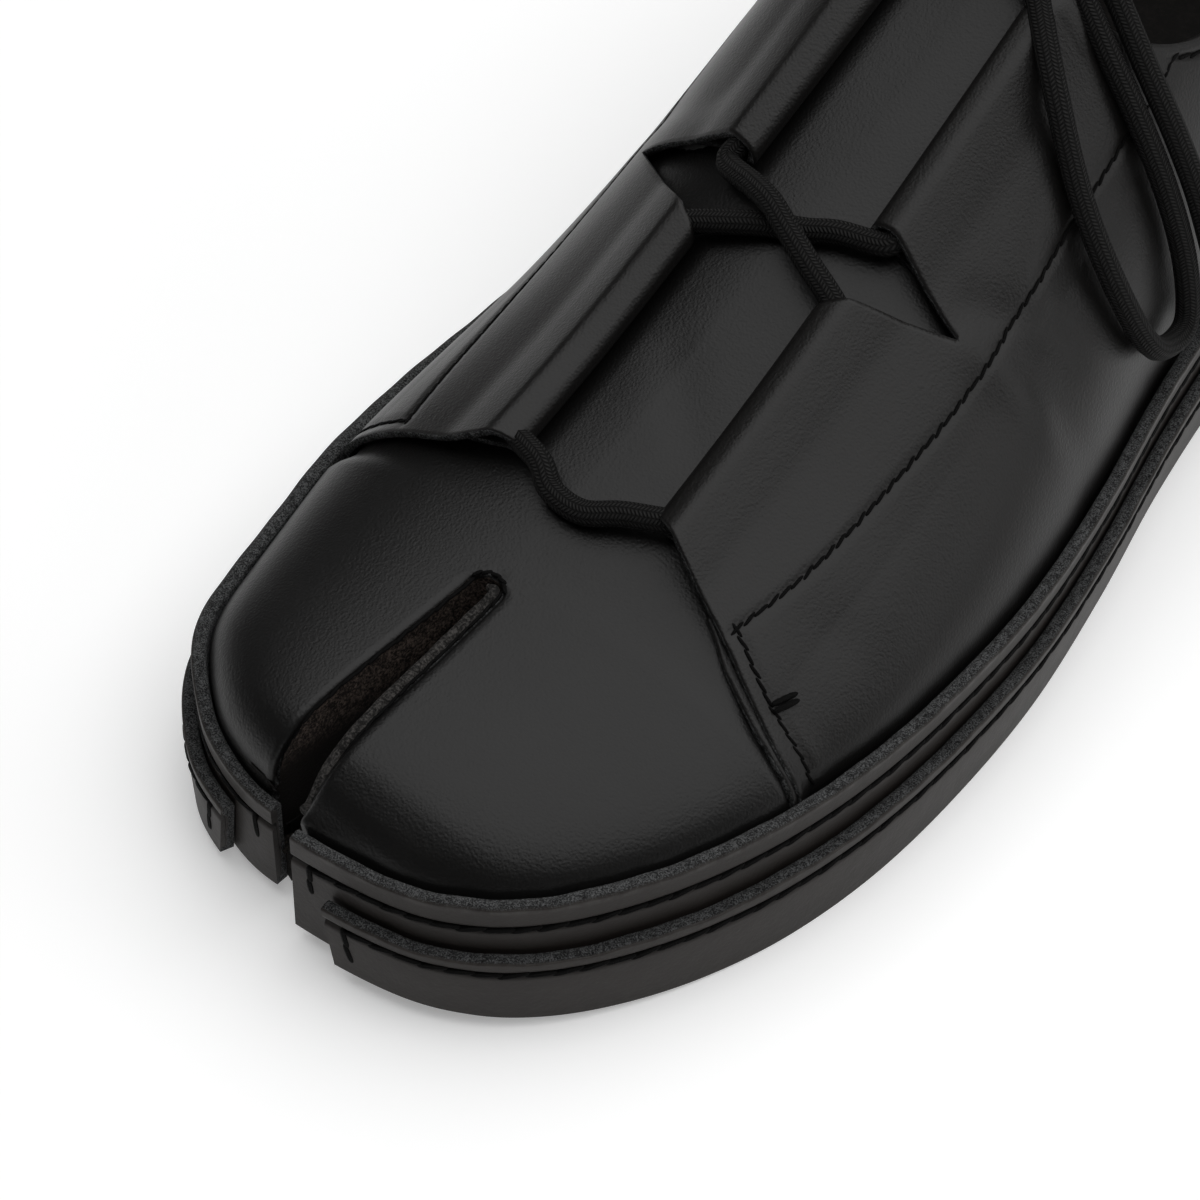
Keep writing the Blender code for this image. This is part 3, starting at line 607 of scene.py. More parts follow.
def face_out(bm, outward):
    """Merges a sheet's seams and turns its faces the way that outward(point) gives."""
    bmesh.ops.remove_doubles(bm, verts=bm.verts, dist=0.004)
    bmesh.ops.dissolve_degenerate(bm, edges=bm.edges, dist=0.001)
    bmesh.ops.recalc_face_normals(bm, faces=bm.faces)
    vote = sum(face.calc_area() * face.normal.dot(outward(face.calc_center_median())) for face in bm.faces)
    if vote < 0.0:
        bmesh.ops.reverse_faces(bm, faces=bm.faces)


def from_inside(point):
    """Direction from the middle of the foot's room to a point of the upper."""
    return Vector((point.x - 9.0, 0.0, point.z - 15.0))


vamp_leather = smooth_leather("vamp_leather", (0.0030, 0.0029, 0.0029), (0.0056, 0.0053, 0.0051), 0.30, 0.5)
flesh_leather = rough_leather("flesh_leather", (0.0030, 0.0027, 0.0026), (0.0120, 0.0102, 0.0094), 2.0, 0.20)
vamp_mesh = bmesh.new()
for side in (LATERAL, MEDIAL):
    vamp_half(side, vamp_mesh)
face_out(vamp_mesh, from_inside)
leathers = [vamp_leather, flesh_leather, edge_leather]
leather_wall(finish_piece(vamp_mesh, "vamp", "upper_leather", leathers, "upper"), VAMP_THICKNESS)

# Gusset: a strip of brown-black suede that lines the split from lip to lip. Its edge on the lateral side
# is folded over and stands up as a raw bead beside the vamp.
GUSSET_THICKNESS = 0.9
GUSSET_FOOT = 7.0
GUSSET_END = 0.12
GUSSET_NOSE = 2.0
GUSSET_FRONT = 5.6
GUSSET_UNDER = 0.35
GUSSET_CROWDING = 1.7
LIP_LEVEL = 30.0
SLOT_MIDWAY = 20.0
BEAD = 0.85
BEAD_IN = 0.75
BEAD_UP = 0.15
BEAD_FROM = 0.49


def turn_over(x, station, height=0.0):
    """Turn at which a section of the last, raised by a height, reaches x."""
    def short(turn):
        return last_point(station, turn, -height)[0] > x
    return halve(np.zeros_like(x), np.full_like(x, math.pi), short)


def surface_height(x, y):
    """Height of the last over a place in plan."""
    station = station_at(y)
    for _ in range(7):
        found = last_point(station, turn_over(x, station))
        way = np.clip(outline(LATERAL, station)[1] + y - found[1], 0.2, 200.0)
        station = np.clip(station_at(way), 0.002, 1.0)
    return found[2]


def split_line(u, inside):
    """Line round the split, u from the front of the medial lip to that of the lateral."""
    side = np.where(u < 0.5, MEDIAL, LATERAL)
    near = np.abs(u - 0.5) * 2.0
    round_end = near < GUSSET_END
    turn = unit(near / GUSSET_END) * math.pi / 2.0
    back = SLOT_END - GUSSET_NOSE
    run = unit((near - GUSSET_END) / (1.0 - GUSSET_END))
    front = GUSSET_FRONT - side * 0.8
    y = np.where(round_end, back + (GUSSET_NOSE - inside) * np.cos(turn), back - run * (back - front))
    half = slot_half(np.minimum(y, back), LIP_LEVEL) - inside
    half = half * np.where(round_end, np.sin(turn), 1.0)
    return side, y, slot_middle(y), half


def gusset_place(u, v):
    """Wall of the gusset, v down from the lip."""
    side, y, middle, half_top = split_line(u, 0.0)
    top = surface_height(middle + side * (half_top + 0.4), y) - GUSSET_UNDER
    z = top + (GUSSET_FOOT - top) * v ** GUSSET_CROWDING
    half = half_top * slot_half(SLOT_MIDWAY, z) / slot_half(SLOT_MIDWAY, LIP_LEVEL)
    return middle + side * (half + GUSSET_UNDER), y, z


def bead_place(u, v):
    """Folded edge of the suede, u along the lateral lip, v round the fold."""
    u = BEAD_FROM + (1.0 - BEAD_FROM) * u
    side, y, middle, half = split_line(u, BEAD_IN)
    uneven = 1.0 + 0.07 * np.sin(u * 95.0) + 0.05 * np.sin(u * 41.0)
    width = BEAD * (0.55 + 0.45 * ramp(u, BEAD_FROM, 0.56)) * uneven
    top = surface_height(middle + side * (half + BEAD_IN + 0.3), y) + BEAD_UP
    top = top - 0.9 * (1.0 - ramp(u, BEAD_FROM, 0.53))
    angle = 2.0 * math.pi * v
    across = width * np.cos(angle)
    near = np.abs(u - 0.5) * 2.0
    ahead = np.where(near < GUSSET_END, np.cos(near / GUSSET_END * math.pi / 2.0), 0.0)
    x = middle + side * (half + across * np.sqrt(1.0 - ahead ** 2))
    return x, y + across * ahead, top - width + width * 1.15 * np.sin(angle)


gusset_mesh = bmesh.new()
lay_grid(gusset_mesh, 150, 44, gusset_place)
face_out(gusset_mesh, lambda point: Vector((float(slot_middle(point.y)) - point.x, -1.0, 0.0)))
# The suede is left dark below 26 mm as painted shade deep in the split.
suede = rough_leather("gusset_suede", (0.008, 0.0062, 0.0053), (0.150, 0.116, 0.098), 2.6, 0.30, 26.0)
gusset = finish_piece(gusset_mesh, "gusset", "upper_leather", [suede, suede, edge_leather])
leather_wall(gusset, GUSSET_THICKNESS)
bead_mesh = bmesh.new()
lay_grid(bead_mesh, 220, 18, bead_place)
close_ends(bead_mesh)
bead_suede = rough_leather("bead_suede", (0.010, 0.0095, 0.009), (0.085, 0.080, 0.076), 2.9, 0.34)
finish_piece(bead_mesh, "gusset_bead", "upper_leather", [bead_suede])

# Quarters: two panels of black calf over the sides of the vamp. The inner edge of each rolls over and back
# under itself into a tunnel for the lace, which a V-shaped slit cuts in two; the cut edges stay raw.
# Places on them are given by y along the foot and the distance back, down the side, from the fold.
QUARTER_OUT = GAP + QUARTER_THICKNESS
QUARTER_WALL = 1.05
TUNNEL_RADIUS = 1.7
TUNNEL_BACK = 3.3
TUNNEL_HEIGHT = QUARTER_OUT + TUNNEL_RADIUS - 0.1
ROLL_RADIUS = TUNNEL_RADIUS + 1.15
ROLL_PRESSED = 0.28
TUNNEL_END = 136.0
FLARE_END = 152.0
BACK_SEAM = 1.993
PANEL_FOOT_DROP = 11.5
PANEL_FROM = 40.0
PANEL_MIDDLE = 95.0
PANEL_SHARE = 0.42
QUARTER_COLUMNS = 150
PROFILE_STEPS = 88
TABLE_STATIONS = 240
TABLE_STEPS = 80
UNDER_SET_BACK = 0.07
EDGE_CROWDING = 1.7
COLLAR_SEAM = 2.0
FRONT_SEAM_IN = 2.5
SEAM_DEPTH = 0.34
SEAM_WIDTH = 0.6
FACING_TOP = 13.0
FACING_FOOT = 40.0
FACING_SHOWS = 1.2
FACING_UNDER = 3.0
FACING_OUT = 1.0
SIDE_NAMES = {MEDIAL: "medial", LATERAL: "lateral"}

# Folded inner edges: y, medial x, lateral x; and height of the collar: y, z
FOLDS = ((50, -0.9, 18), (90, 0.3, 17.9), (135, 2.8, 17.2))
COLLAR = ((120, 92), (131, 74), (139, 65), (149, 59), (165, 55.5), (190, 56),
          (215, 59.5), (240, 66), (262, 69))

# Each slit: y of its two lips at the fold, and x and y of its tip
SLITS = {MEDIAL: (91.5, 103.4, -18.0, 105.0), LATERAL: (90.5, 102.8, 33.8, 99.8)}

# Sections of the outer face, as distance back from the fold and height over the vamp: the slope up to the
# tunnel's roll, the flap under it, and the plain edge along the collar
ROOF_FRONT = ((26, 1.7), (22, 2.1), (18, 2.55), (14, 3), (10.5, 3.6), (7.4, 4.75))
ROOF_UNDER = ((5.2, 0.36), (9, 0.4), (13, 0.42), (16.5, 0.45))
PLAIN_EDGE = ((3.0, 1.7), (1.6, 1.69), (0.6, 1.62), (0.0, 1.45))
ROOF_BACK = ROOF_FRONT[0][0]

# Front edge of each quarter: distance back and y; and its long seam: y and distance back
FRONT_EDGE = {
    MEDIAL: ((0, 56.3), (8.4, 54.2), (19, 53.7), (28, 53.3), (36, 53)),
    LATERAL: ((0, 57.3), (4.8, 54.9), (14.8, 50.6), (24.5, 46.2), (31, 44.6), (36.7, 43.9)),
}
SEAM = {
    MEDIAL: ((55.5, 19.2), (67, 21.2), (78, 22.7), (96, 25.5), (108, 27.4), (118, 28),
             (128, 27), (137, 25), (145.5, 21), (150.5, 17)),
    LATERAL: ((51.5, 16.2), (65, 19.2), (82, 21), (95.5, 22), (113, 21.5), (126.5, 21.2),
              (137, 21), (145.5, 18.9), (150.5, 17)),
}


def climbing(side, climb):
    """Turn that lies climb radians up from one side's base."""
    return climb if side > 0 else math.pi - climb


def top_climb(side, station):
    """How far up a quarter reaches: to its fold, or to the collar."""
    def short(climb):
        x, y, z = last_point(station, climbing(side, climb))
        fold = read_table(FOLDS, 2 if side > 0 else 1, y)
        past_fold = (y < TONGUE_END) & (side * (x - fold) < 0.0)
        return ~(past_fold | (z > read_table(COLLAR, 1, y)))
    return halve(np.zeros_like(station), np.full_like(station, math.pi / 2.0), short)


def section_table(side):
    """Stations, each section's length up to the quarter's top, and its climb at even lengths."""
    station = np.linspace(float(station_at(PANEL_FROM)), 2.0, TABLE_STATIONS)
    share = np.linspace(0.0, 1.0, TABLE_STEPS + 1)
    climbs = top_climb(side, station)[:, None] * share
    points = last_point(np.repeat(station[:, None], TABLE_STEPS + 1, 1), climbing(side, climbs))
    run = np.array([length_along(section) for section in np.stack(points, axis=2)])
    even = np.array([np.interp(share * row[-1], row, climb) for row, climb in zip(run, climbs)])
    return station, run[:, -1], even


SECTIONS = {side: section_table(side) for side in (MEDIAL, LATERAL)}


def section_length(side, station):
    """Length of a section from its base to the quarter's top."""
    return np.interp(station, *SECTIONS[side][:2])


def fold_point(side, station, back, height):
    """Point back from the quarter's fold down the side, at a height over the vamp."""
    stations, lengths, even = SECTIONS[side]
    length = np.interp(station, stations, lengths)
    row = np.clip(np.interp(station, stations, np.arange(TABLE_STATIONS)), 0.0, TABLE_STATIONS - 1.001)
    step = np.clip((1.0 - back / length) * TABLE_STEPS, 0.0, TABLE_STEPS - 0.001)
    i, j = row.astype(int), step.astype(int)
    a, b = row - i, step - j
    climb = (even[i, j] * (1 - a) * (1 - b) + even[i + 1, j] * a * (1 - b)
             + even[i, j + 1] * (1 - a) * b + even[i + 1, j + 1] * a * b)
    drop = np.maximum(0.0, back - length)
    low_x, low_y = rim(side, station, base_inset(side, station) - height, SPRING_LINE - drop)
    high = last_point(station, climbing(side, climb), -height)
    return choose(drop > 0.0, (low_x, low_y, SPRING_LINE - drop), high)


def smooth_line(points, count=0, spacing=1.0):
    """Points evenly spread on a smooth line through a few given ones, by count or spacing."""
    keyed = np.column_stack((np.arange(len(points)), points))
    fine = np.linspace(0.0, len(points) - 1.0, 40 * len(points))
    line = np.column_stack([read_table(keyed, column, fine) for column in range(1, keyed.shape[1])])
    run = length_along(line)
    even = np.linspace(0.0, run[-1], count or int(run[-1] / spacing) + 1)
    return np.column_stack([np.interp(even, run, column) for column in line.T])


def roll_section():
    """Tunnel's section: up the slope, round the roll with its crown pressed flat, back under."""
    rows = list(ROOF_FRONT)
    for degrees in range(72, 269, 14):
        radius = ROLL_RADIUS - ROLL_PRESSED * math.exp(-((degrees - 122.0) / 24.0) ** 2)
        rows.append((TUNNEL_BACK + radius * math.cos(math.radians(degrees)),
                     TUNNEL_HEIGHT + radius * math.sin(math.radians(degrees))))
    return rows + list(ROOF_UNDER)


# The tunnel's section and the plain one share their columns up to the tunnel's crown
TUNNEL_SECTION = smooth_line(roll_section(), PROFILE_STEPS).T
CROWN = int(np.argmax(TUNNEL_SECTION[1]))
UNDER_FROM = CROWN + int(np.argmin(TUNNEL_SECTION[0][CROWN:]))
ROOF = (TUNNEL_SECTION[0][CROWN::-1], TUNNEL_SECTION[1][CROWN::-1] - QUARTER_OUT)
plain_panel = np.array((TUNNEL_SECTION[0][:CROWN + 1], np.full(CROWN + 1, QUARTER_OUT)))
plain_edge = smooth_line(PLAIN_EDGE, PROFILE_STEPS - CROWN - 1).T
EDGE_SECTION = np.concatenate((plain_panel, plain_edge), axis=1)


def cut_away(side, station):
    """How far the collar is cut down from the line of the fold, behind the tunnel."""
    less = section_length(side, station_at(TUNNEL_END)) - section_length(side, station)
    return np.where(outline(side, station)[1] > TUNNEL_END, np.maximum(less, 0.0), 0.0)


def roof_rise(side, station, back):
    """Height of a tunnel's roof over the plain quarter; it dies out behind the tunnel."""
    fading = 1.0 - ramp(outline(side, station)[1], TUNNEL_END, FLARE_END)
    return np.interp(back + cut_away(side, station), *ROOF) * fading


def crease_rise(side, station, back):
    """Height of the creases on a quarter, clear of its fold."""
    x, y, _ = fold_point(side, station, back, QUARTER_OUT)
    return ramp(back, 3.0, 16.0) * crease_height(x, y)


def seam_line(side):
    """Places y along a quarter's long seam, and its distance back there."""
    y = np.linspace(SEAM[side][0][0], SEAM[side][-1][0], 200)
    return y, np.maximum(read_table(SEAM[side], 1, y) - cut_away(side, station_at(y)), COLLAR_SEAM)


SEAMS = {side: seam_line(side) for side in (MEDIAL, LATERAL)}


def front_line(side, back):
    """Place y of a quarter's front edge, by distance back."""
    return read_table(FRONT_EDGE[side], 1, back)


def seam_groove(side, back, y):
    """Depth that the thread draws the leather down along its seams."""
    line_y, line_back = SEAMS[side]
    top = np.abs(back - np.interp(y, line_y, line_back))
    top = np.where(y > line_y[0], top, np.hypot(top, y - line_y[0]))
    top = np.where(y > line_y[-1], np.abs(back - COLLAR_SEAM), top)
    front = np.where(back > line_back[0], np.abs(y - front_line(side, back) - FRONT_SEAM_IN), 9.0)
    return SEAM_DEPTH * np.exp(-(np.minimum(top, front) / SEAM_WIDTH) ** 2)


def slit_edge(side, lip):
    """Line across a quarter along one lip of its slit, and on from the tip."""
    start, tip_x, tip_y = SLITS[side][lip], *SLITS[side][2:]
    station = station_at(tip_y)

    def short(back):
        return side * (fold_point(side, station, back, 0.0)[0] - tip_x) < 0.0

    reach = halve(0.0, section_length(side, station), short)
    return lambda back: station_at(start + (tip_y - start) * unit(back / reach))


def quarter_patch(bm, side, rows, first, last, section):
    """Part of a quarter between two lines across it, given as stations by distance back."""
    steps = np.arange(PROFILE_STEPS)
    tunnel = section is TUNNEL_SECTION
    middle_length = float(section_length(side, station_at(PANEL_MIDDLE)))

    def place(u, v):
        t = unit(u / PANEL_SHARE)
        k = unit((u - PANEL_SHARE) / (1.0 - PANEL_SHARE)) * (PROFILE_STEPS - 1)
        rolled = u > PANEL_SHARE
        roll_back, roll_height = (np.interp(k, steps, column) for column in section)
        rough_back = (middle_length + PANEL_FOOT_DROP) * (1.0 - t) + ROOF_BACK * t
        rough_back = np.where(rolled, np.minimum(roll_back, ROOF_BACK), rough_back)
        set_back = UNDER_SET_BACK * ramp(k, UNDER_FROM, UNDER_FROM + 12.0)
        along = set_back + (1.0 - 2.0 * set_back) * v if tunnel else v ** EDGE_CROWDING
        station = first(rough_back) * (1.0 - along) + last(rough_back) * along
        back = (section_length(side, station) + PANEL_FOOT_DROP) * (1.0 - t) + ROOF_BACK * t
        back = np.where(rolled, roll_back, back)
        height = np.where(rolled, roll_height, QUARTER_OUT)
        height = height + np.where(k < CROWN, crease_rise(side, station, back), 0.0)
        height = height - seam_groove(side, back, outline(side, station)[1])
        if not tunnel:
            height = height + roof_rise(side, station, back)
        return fold_point(side, station, back, height)

    lay_grid(bm, QUARTER_COLUMNS, rows, place)


def facing_place(u, v):
    """Edge of the layer below, which shows along the lateral front edge."""
    back = FACING_TOP + (FACING_FOOT - FACING_TOP) * u
    way = front_line(LATERAL, back) - FACING_SHOWS * ramp(u, 0.0, 0.25) + FACING_UNDER * v
    return fold_point(LATERAL, station_at(way), back, FACING_OUT)


calf = smooth_leather("quarter_leather", (0.0034, 0.0031, 0.0030), (0.0064, 0.0058, 0.0054), 0.31, 0.5)
leathers = [calf, flesh_leather, edge_leather]
for side in (MEDIAL, LATERAL):
    panel = bmesh.new()
    edges = (lambda back: station_at(front_line(side, back)), slit_edge(side, 0), slit_edge(side, 1),
             lambda back: station_at(TUNNEL_END), lambda back: BACK_SEAM)
    quarter_patch(panel, side, 62, edges[0], edges[1], TUNNEL_SECTION)
    quarter_patch(panel, side, 44, edges[2], edges[3], TUNNEL_SECTION)
    quarter_patch(panel, side, 110, edges[3], edges[4], EDGE_SECTION)
    if side == LATERAL:
        lay_grid(panel, 40, 4, facing_place)
    face_out(panel, lambda point: Vector((side, 0.0, 0.6)))
    node = "quarter_" + SIDE_NAMES[side]
    leather_wall(finish_piece(panel, node + "_panel", "quarter_leather", leathers, node), QUARTER_WALL)

# Lining: thin black leather inside the quarters, from the instep round the heel and up to the collar,
# glued to them and trimmed level with their top edge.
LINING_THICKNESS = 1.2
LINING_FROM = 106.0
LINING_DOWN = 11.0
LINING_RISES = (138.0, 152.0)


def lining_place(u, v):
    """u from the lateral instep round the heel to the medial one, v from the foot up."""
    start = float(station_at(LINING_FROM))
    run = start + (2.0 - start) * (1.0 - np.abs(2.0 * u - 1.0))
    points = []
    for side in (LATERAL, MEDIAL):
        top = LINING_DOWN * (1.0 - ramp(outline(side, run)[1], *LINING_RISES))
        back = (section_length(side, run) + PANEL_FOOT_DROP) * (1.0 - v) + top * v
        points.append(fold_point(side, run, back, -0.05))
    return choose(u < 0.5, *points)


lining_mesh = bmesh.new()
lay_grid(lining_mesh, 140, 30, lining_place)
face_out(lining_mesh, from_inside)
skiver = smooth_leather("lining_leather", (0.0042, 0.0036, 0.0033), (0.0080, 0.0068, 0.0061), 0.48, 0.35)
lining = finish_piece(lining_mesh, "lining", "upper_leather", [skiver] * 3)
leather_wall(lining, LINING_THICKNESS)

# Threads: black waxed linen sewn by hand, long and slanted on the strips, shorter on the quarters, with a
# short upright stitch where each strip ends and a bar at the foot of the lateral front seam. Smaller ones
# close the lips of the split over the gusset, and nubs show where they are tied off at its end.
THREAD_SIDES = 7
THREAD_RINGS = 10
BLUNT = 0.55
STITCH_SHARE = 0.62
RAND_STITCH = 3.4
QUARTER_STITCH = 2.0
SINK = 0.1
FRONT_SEAM_FOOT = 36.5

# Bar at the foot of the lateral front seam: y and distance back of its ends, and half the strands' gap
BAR_ENDS = ((48.4, 26.0), (51.4, 27.4))
BAR_SHIFT = 0.24

# Stitches along the split: shares of its line, points, inward, aside and up, then pitch, radius and slant
LIP_STITCHES = (
    (0.02, 0.46, 120, 0.0, 0.5, -0.25, 2.2, 0.27, 0.1),
    (0.54, 0.98, 120, -0.1, 0.5, -0.25, 2.2, 0.27, 0.1),
    (0.455, 0.545, 30, -0.5, 0.0, 0.05, 1.3, 0.30, 0.25),
)


def thread_finish():
    """Black waxed thread, twisted."""
    made, shader, mm = start_finish("linen_thread", {"Specular IOR Level": 0.08})
    twist = mm.noise(5.0, 2.0)
    colour = twist.mix((0.0012, 0.0012, 0.0012), (0.0048, 0.0046, 0.0045))
    return end_finish(made, shader, colour, twist * 0.2 + 0.68, twist, 0.15)


linen_thread = thread_finish()


def sew(bm, line, pitch, radius, slant):
    """Adds stitches along a line; line(up) gives its points at a height over the leather."""
    low, high = np.array(line(-SINK)).T, np.array(line(1.0 - SINK)).T
    run = length_along(low)
    count = max(1, round(run[-1] / pitch))
    step = run[-1] / count

    def at(distance, points):
        return Vector([float(np.interp(distance, run, column)) for column in points.T])

    for i in range(count):
        middle = (i + 0.5) * step
        spot = at(middle, low)
        up = (at(middle, high) - spot).normalized()
        ahead = (at(middle + 0.3 * step, low) - at(middle - 0.3 * step, low)).normalized()
        along = Matrix.Rotation(slant + 0.10 * math.sin(i * 2.4), 3, up) @ ahead
        turn = Matrix((up.cross(along), up, along)).transposed().to_4x4()
        size = Matrix.Diagonal((radius, radius, STITCH_SHARE * step, 1.0))
        stitch = bmesh.ops.create_uvsphere(bm, u_segments=THREAD_SIDES, v_segments=THREAD_RINGS, radius=1.0)
        for vert in stitch["verts"]:
            vert.co.z = math.copysign(abs(vert.co.z) ** BLUNT, vert.co.z)
        bmesh.ops.transform(bm, matrix=Matrix.Translation(spot) @ turn @ size, verts=stitch["verts"])


threads = bmesh.new()
along = np.linspace(0.006, 0.994, 900)
for _, inset, height, starts, drop in STRIPS:
    groove = height * GROOVE_SHARE
    sew(threads, lambda up: rand_point(inset, along, starts, 0.12 - up, groove), RAND_STITCH, 0.46, 0.14)
    level = np.linspace(groove, groove - drop, 30)
    for share in (0.005, 0.995):
        sew(threads, lambda up: rand_point(inset, share, starts, 0.1 - up, level), drop / 2.0, 0.52, 0.08)
finish_piece(threads, "strip_threads", "rand_leather", [linen_thread])

threads = bmesh.new()
for side in (MEDIAL, LATERAL):
    y, back = SEAMS[side]
    down = np.linspace(back[0] - 0.6, FRONT_SEAM_FOOT, 120)
    round_heel = np.linspace(float(station_at(y[-1])), BACK_SEAM, 300)
    for here, away in ((station_at(y), back), (station_at(front_line(side, down) + FRONT_SEAM_IN), down),
                       (round_heel, np.full_like(round_heel, COLLAR_SEAM))):
        level = QUARTER_OUT - 0.14 + roof_rise(side, here, away) + crease_rise(side, here, away)
        sew(threads, lambda up: fold_point(side, here, away, level + up), QUARTER_STITCH, 0.25, 0.20)
for shift in (-BAR_SHIFT, BAR_SHIFT):
    y, back = np.linspace(*BAR_ENDS, 20).T
    here, away = station_at(y + shift), back - 1.4 * shift
    sew(threads, lambda up: fold_point(LATERAL, here, away, QUARTER_OUT + up), 5.0, 0.44, 0.05)
finish_piece(threads, "quarter_threads", "quarter_leather", [linen_thread])

threads = bmesh.new()
for first, last, count, inside, aside, lift, pitch, radius, slant in LIP_STITCHES:
    lip, y, middle, half = split_line(np.linspace(first, last, count), inside)
    x = middle + lip * half
    z = surface_height(x + lip * aside, y) + lift
    sew(threads, lambda up: (x, y, z + up), pitch, radius, slant)
finish_piece(threads, "split_threads", "upper_leather", [linen_thread])

# Lace: a round braided cotton cord, threaded through the four tunnels: a bar in front, a crossing at the
# slits and a bar at the top, behind which it is tied in a bow.
LACE_RADIUS = 1.65
LACE_ROW = 0.5
LACE_SIDES = 36
BRAID_COLUMNS = 12
BRAID_PITCH = 0.52
BRAID_RELIEF = 0.05

# Routes: a place in a tunnel as its side and y, a place over the vamp as x, y and height
BARS = {
    "lace_front_bar": (
        ((MEDIAL, 63.0), (MEDIAL, 58.8), (1.6, 55.9, 3.2), (5.2, 53.6, 2.2), (10.2, 53.3, 1.9),
         (15.0, 55.6, 2.6), (LATERAL, 59.2), (LATERAL, 64.0)),),
    "lace_cross": (
        ((MEDIAL, 109.0), (MEDIAL, 105.6), (MEDIAL, 102.2), (2.6, 99.6, 4.4), (6.6, 97.9, 5.15),
         (10.6, 96.0, 5.0), (15.4, 94.2, 4.4), (LATERAL, 92.0), (LATERAL, 89.0), (LATERAL, 85.0)),
        ((MEDIAL, 86.0), (MEDIAL, 89.6), (MEDIAL, 92.8), (2.8, 95.7, 2.6), (7.0, 97.7, 1.95),
         (11.8, 99.3, 2.0), (15.6, 100.6, 2.7), (LATERAL, 102.6), (LATERAL, 105.6), (LATERAL, 109.0))),
    "lace_top_bar": (
        ((MEDIAL, 129.0), (MEDIAL, 134.0), (MEDIAL, 137.0), (3.6, 139.6, 3.3), (10.0, 140.2, 2.1),
         (16.4, 139.6, 3.3), (LATERAL, 137.0), (LATERAL, 134.0), (LATERAL, 129.0)),),
}


def lace_finish():
    """Herringbone braid: columns of stitches that lean left and right by turns."""
    made, shader, mm = start_finish("lace_cotton", {"Specular IOR Level": 0.12})
    spread = mm.node("UVMap", uv_map="UVMap")
    column = spread.axis(0) * BRAID_COLUMNS
    across = column.maths("FRACT")
    odd = column.maths("FLOOR").maths("MODULO", 2.0)
    slant = (across - 0.5) * (odd * 2.0 - 1.0) * 0.9
    stitch = ((spread.axis(1) * (1.0 / BRAID_PITCH) + slant) * (2.0 * math.pi)).maths("COSINE") * 0.5 + 0.5
    raised = stitch * (across * math.pi).maths("SINE")
    fuzz = mm.noise(5.0, 3.0, 0.7)
    # Painted shade and highlight: the colour goes from near black between the stitches to grey on their
    # raised tops.
    colour = (raised * 0.8 + fuzz * 0.3).mix((0.0008, 0.0008, 0.0008), (0.026, 0.0255, 0.025))
    relief = raised.maths("POWER", 0.6) + fuzz * 0.25
    return end_finish(made, shader, colour, fuzz * 0.1 + 0.78, relief, 0.22)


lace_cotton = lace_finish()


def surface_point(x, y, height):
    """Point over the vamp at a place in plan."""
    station = station_at(y)
    return last_point(station, turn_over(x, station, height), -height)


def lace_point(spot):
    """Point of a route: in the middle of a tunnel, or over the vamp."""
    if len(spot) == 2:
        side, y = spot
        return fold_point(side, station_at(y), np.array(TUNNEL_BACK), TUNNEL_HEIGHT)
    return surface_point(*spot)


def lace(bm, route):
    """Adds a length of cord along a route and returns its middle line."""
    line = smooth_line(route, spacing=LACE_ROW)
    ahead = np.gradient(line, axis=0)
    ahead /= np.linalg.norm(ahead, axis=1)[:, None]
    up = [Vector((0.0, 0.0, 1.0)).cross(Vector(ahead[0])).cross(Vector(ahead[0])).normalized()]
    for before, after in zip(ahead, ahead[1:]):
        up.append(Vector(before).rotation_difference(Vector(after)) @ up[-1])
    up = np.array(up)
    side = np.cross(ahead, up)
    last = len(line) - 1

    def place(u, v):
        i = np.rint(v * last).astype(int)
        angle = 2.0 * math.pi * u
        size = LACE_RADIUS + BRAID_RELIEF * np.cos(angle * BRAID_COLUMNS)
        return line[i].T + np.cos(angle) * size * up[i].T + np.sin(angle) * size * side[i].T

    lay_grid(bm, LACE_SIDES, last, place, lambda u, v: (u, v * last * LACE_ROW))
    return line


for node, routes in BARS.items():
    bar = bmesh.new()
    for route in routes:
        lace(bar, [lace_point(spot) for spot in route])
    close_ends(bar)
    finish_piece(bar, node + "_cord", "lace_cotton", [lace_cotton], node)

# Knot of the bow: the lace wound over itself twice at the top of the tongue and pulled tight, so that its
# turns lie flattened on the leather.
KNOT_X, KNOT_Y, KNOT_Z = (float(c) for c in surface_point(10.5, 143.2, 4.7))
KNOT_TURNS = ((0.25, 2.6), (-0.25, 2.7))
KNOT_FLAT = 0.62
KNOT_OVERLAP = 0.3
knot_mesh = bmesh.new()
for tilt, radius in KNOT_TURNS:
    turn = np.linspace(-KNOT_OVERLAP, 2.0 * math.pi + KNOT_OVERLAP, 15)
    across = KNOT_X + 1.4 * np.sin(turn * 0.5) - 0.7 + 6.0 * tilt
    along = KNOT_Y + radius * 0.95 * np.cos(turn)
    level = KNOT_Z + 0.2 + radius * KNOT_FLAT * np.sin(turn) + tilt
    lace(knot_mesh, np.column_stack((across, along, level)))
close_ends(knot_mesh)
knot = finish_piece(knot_mesh, "lace_knot_turns", "lace_cotton", [lace_cotton], "lace_knot")

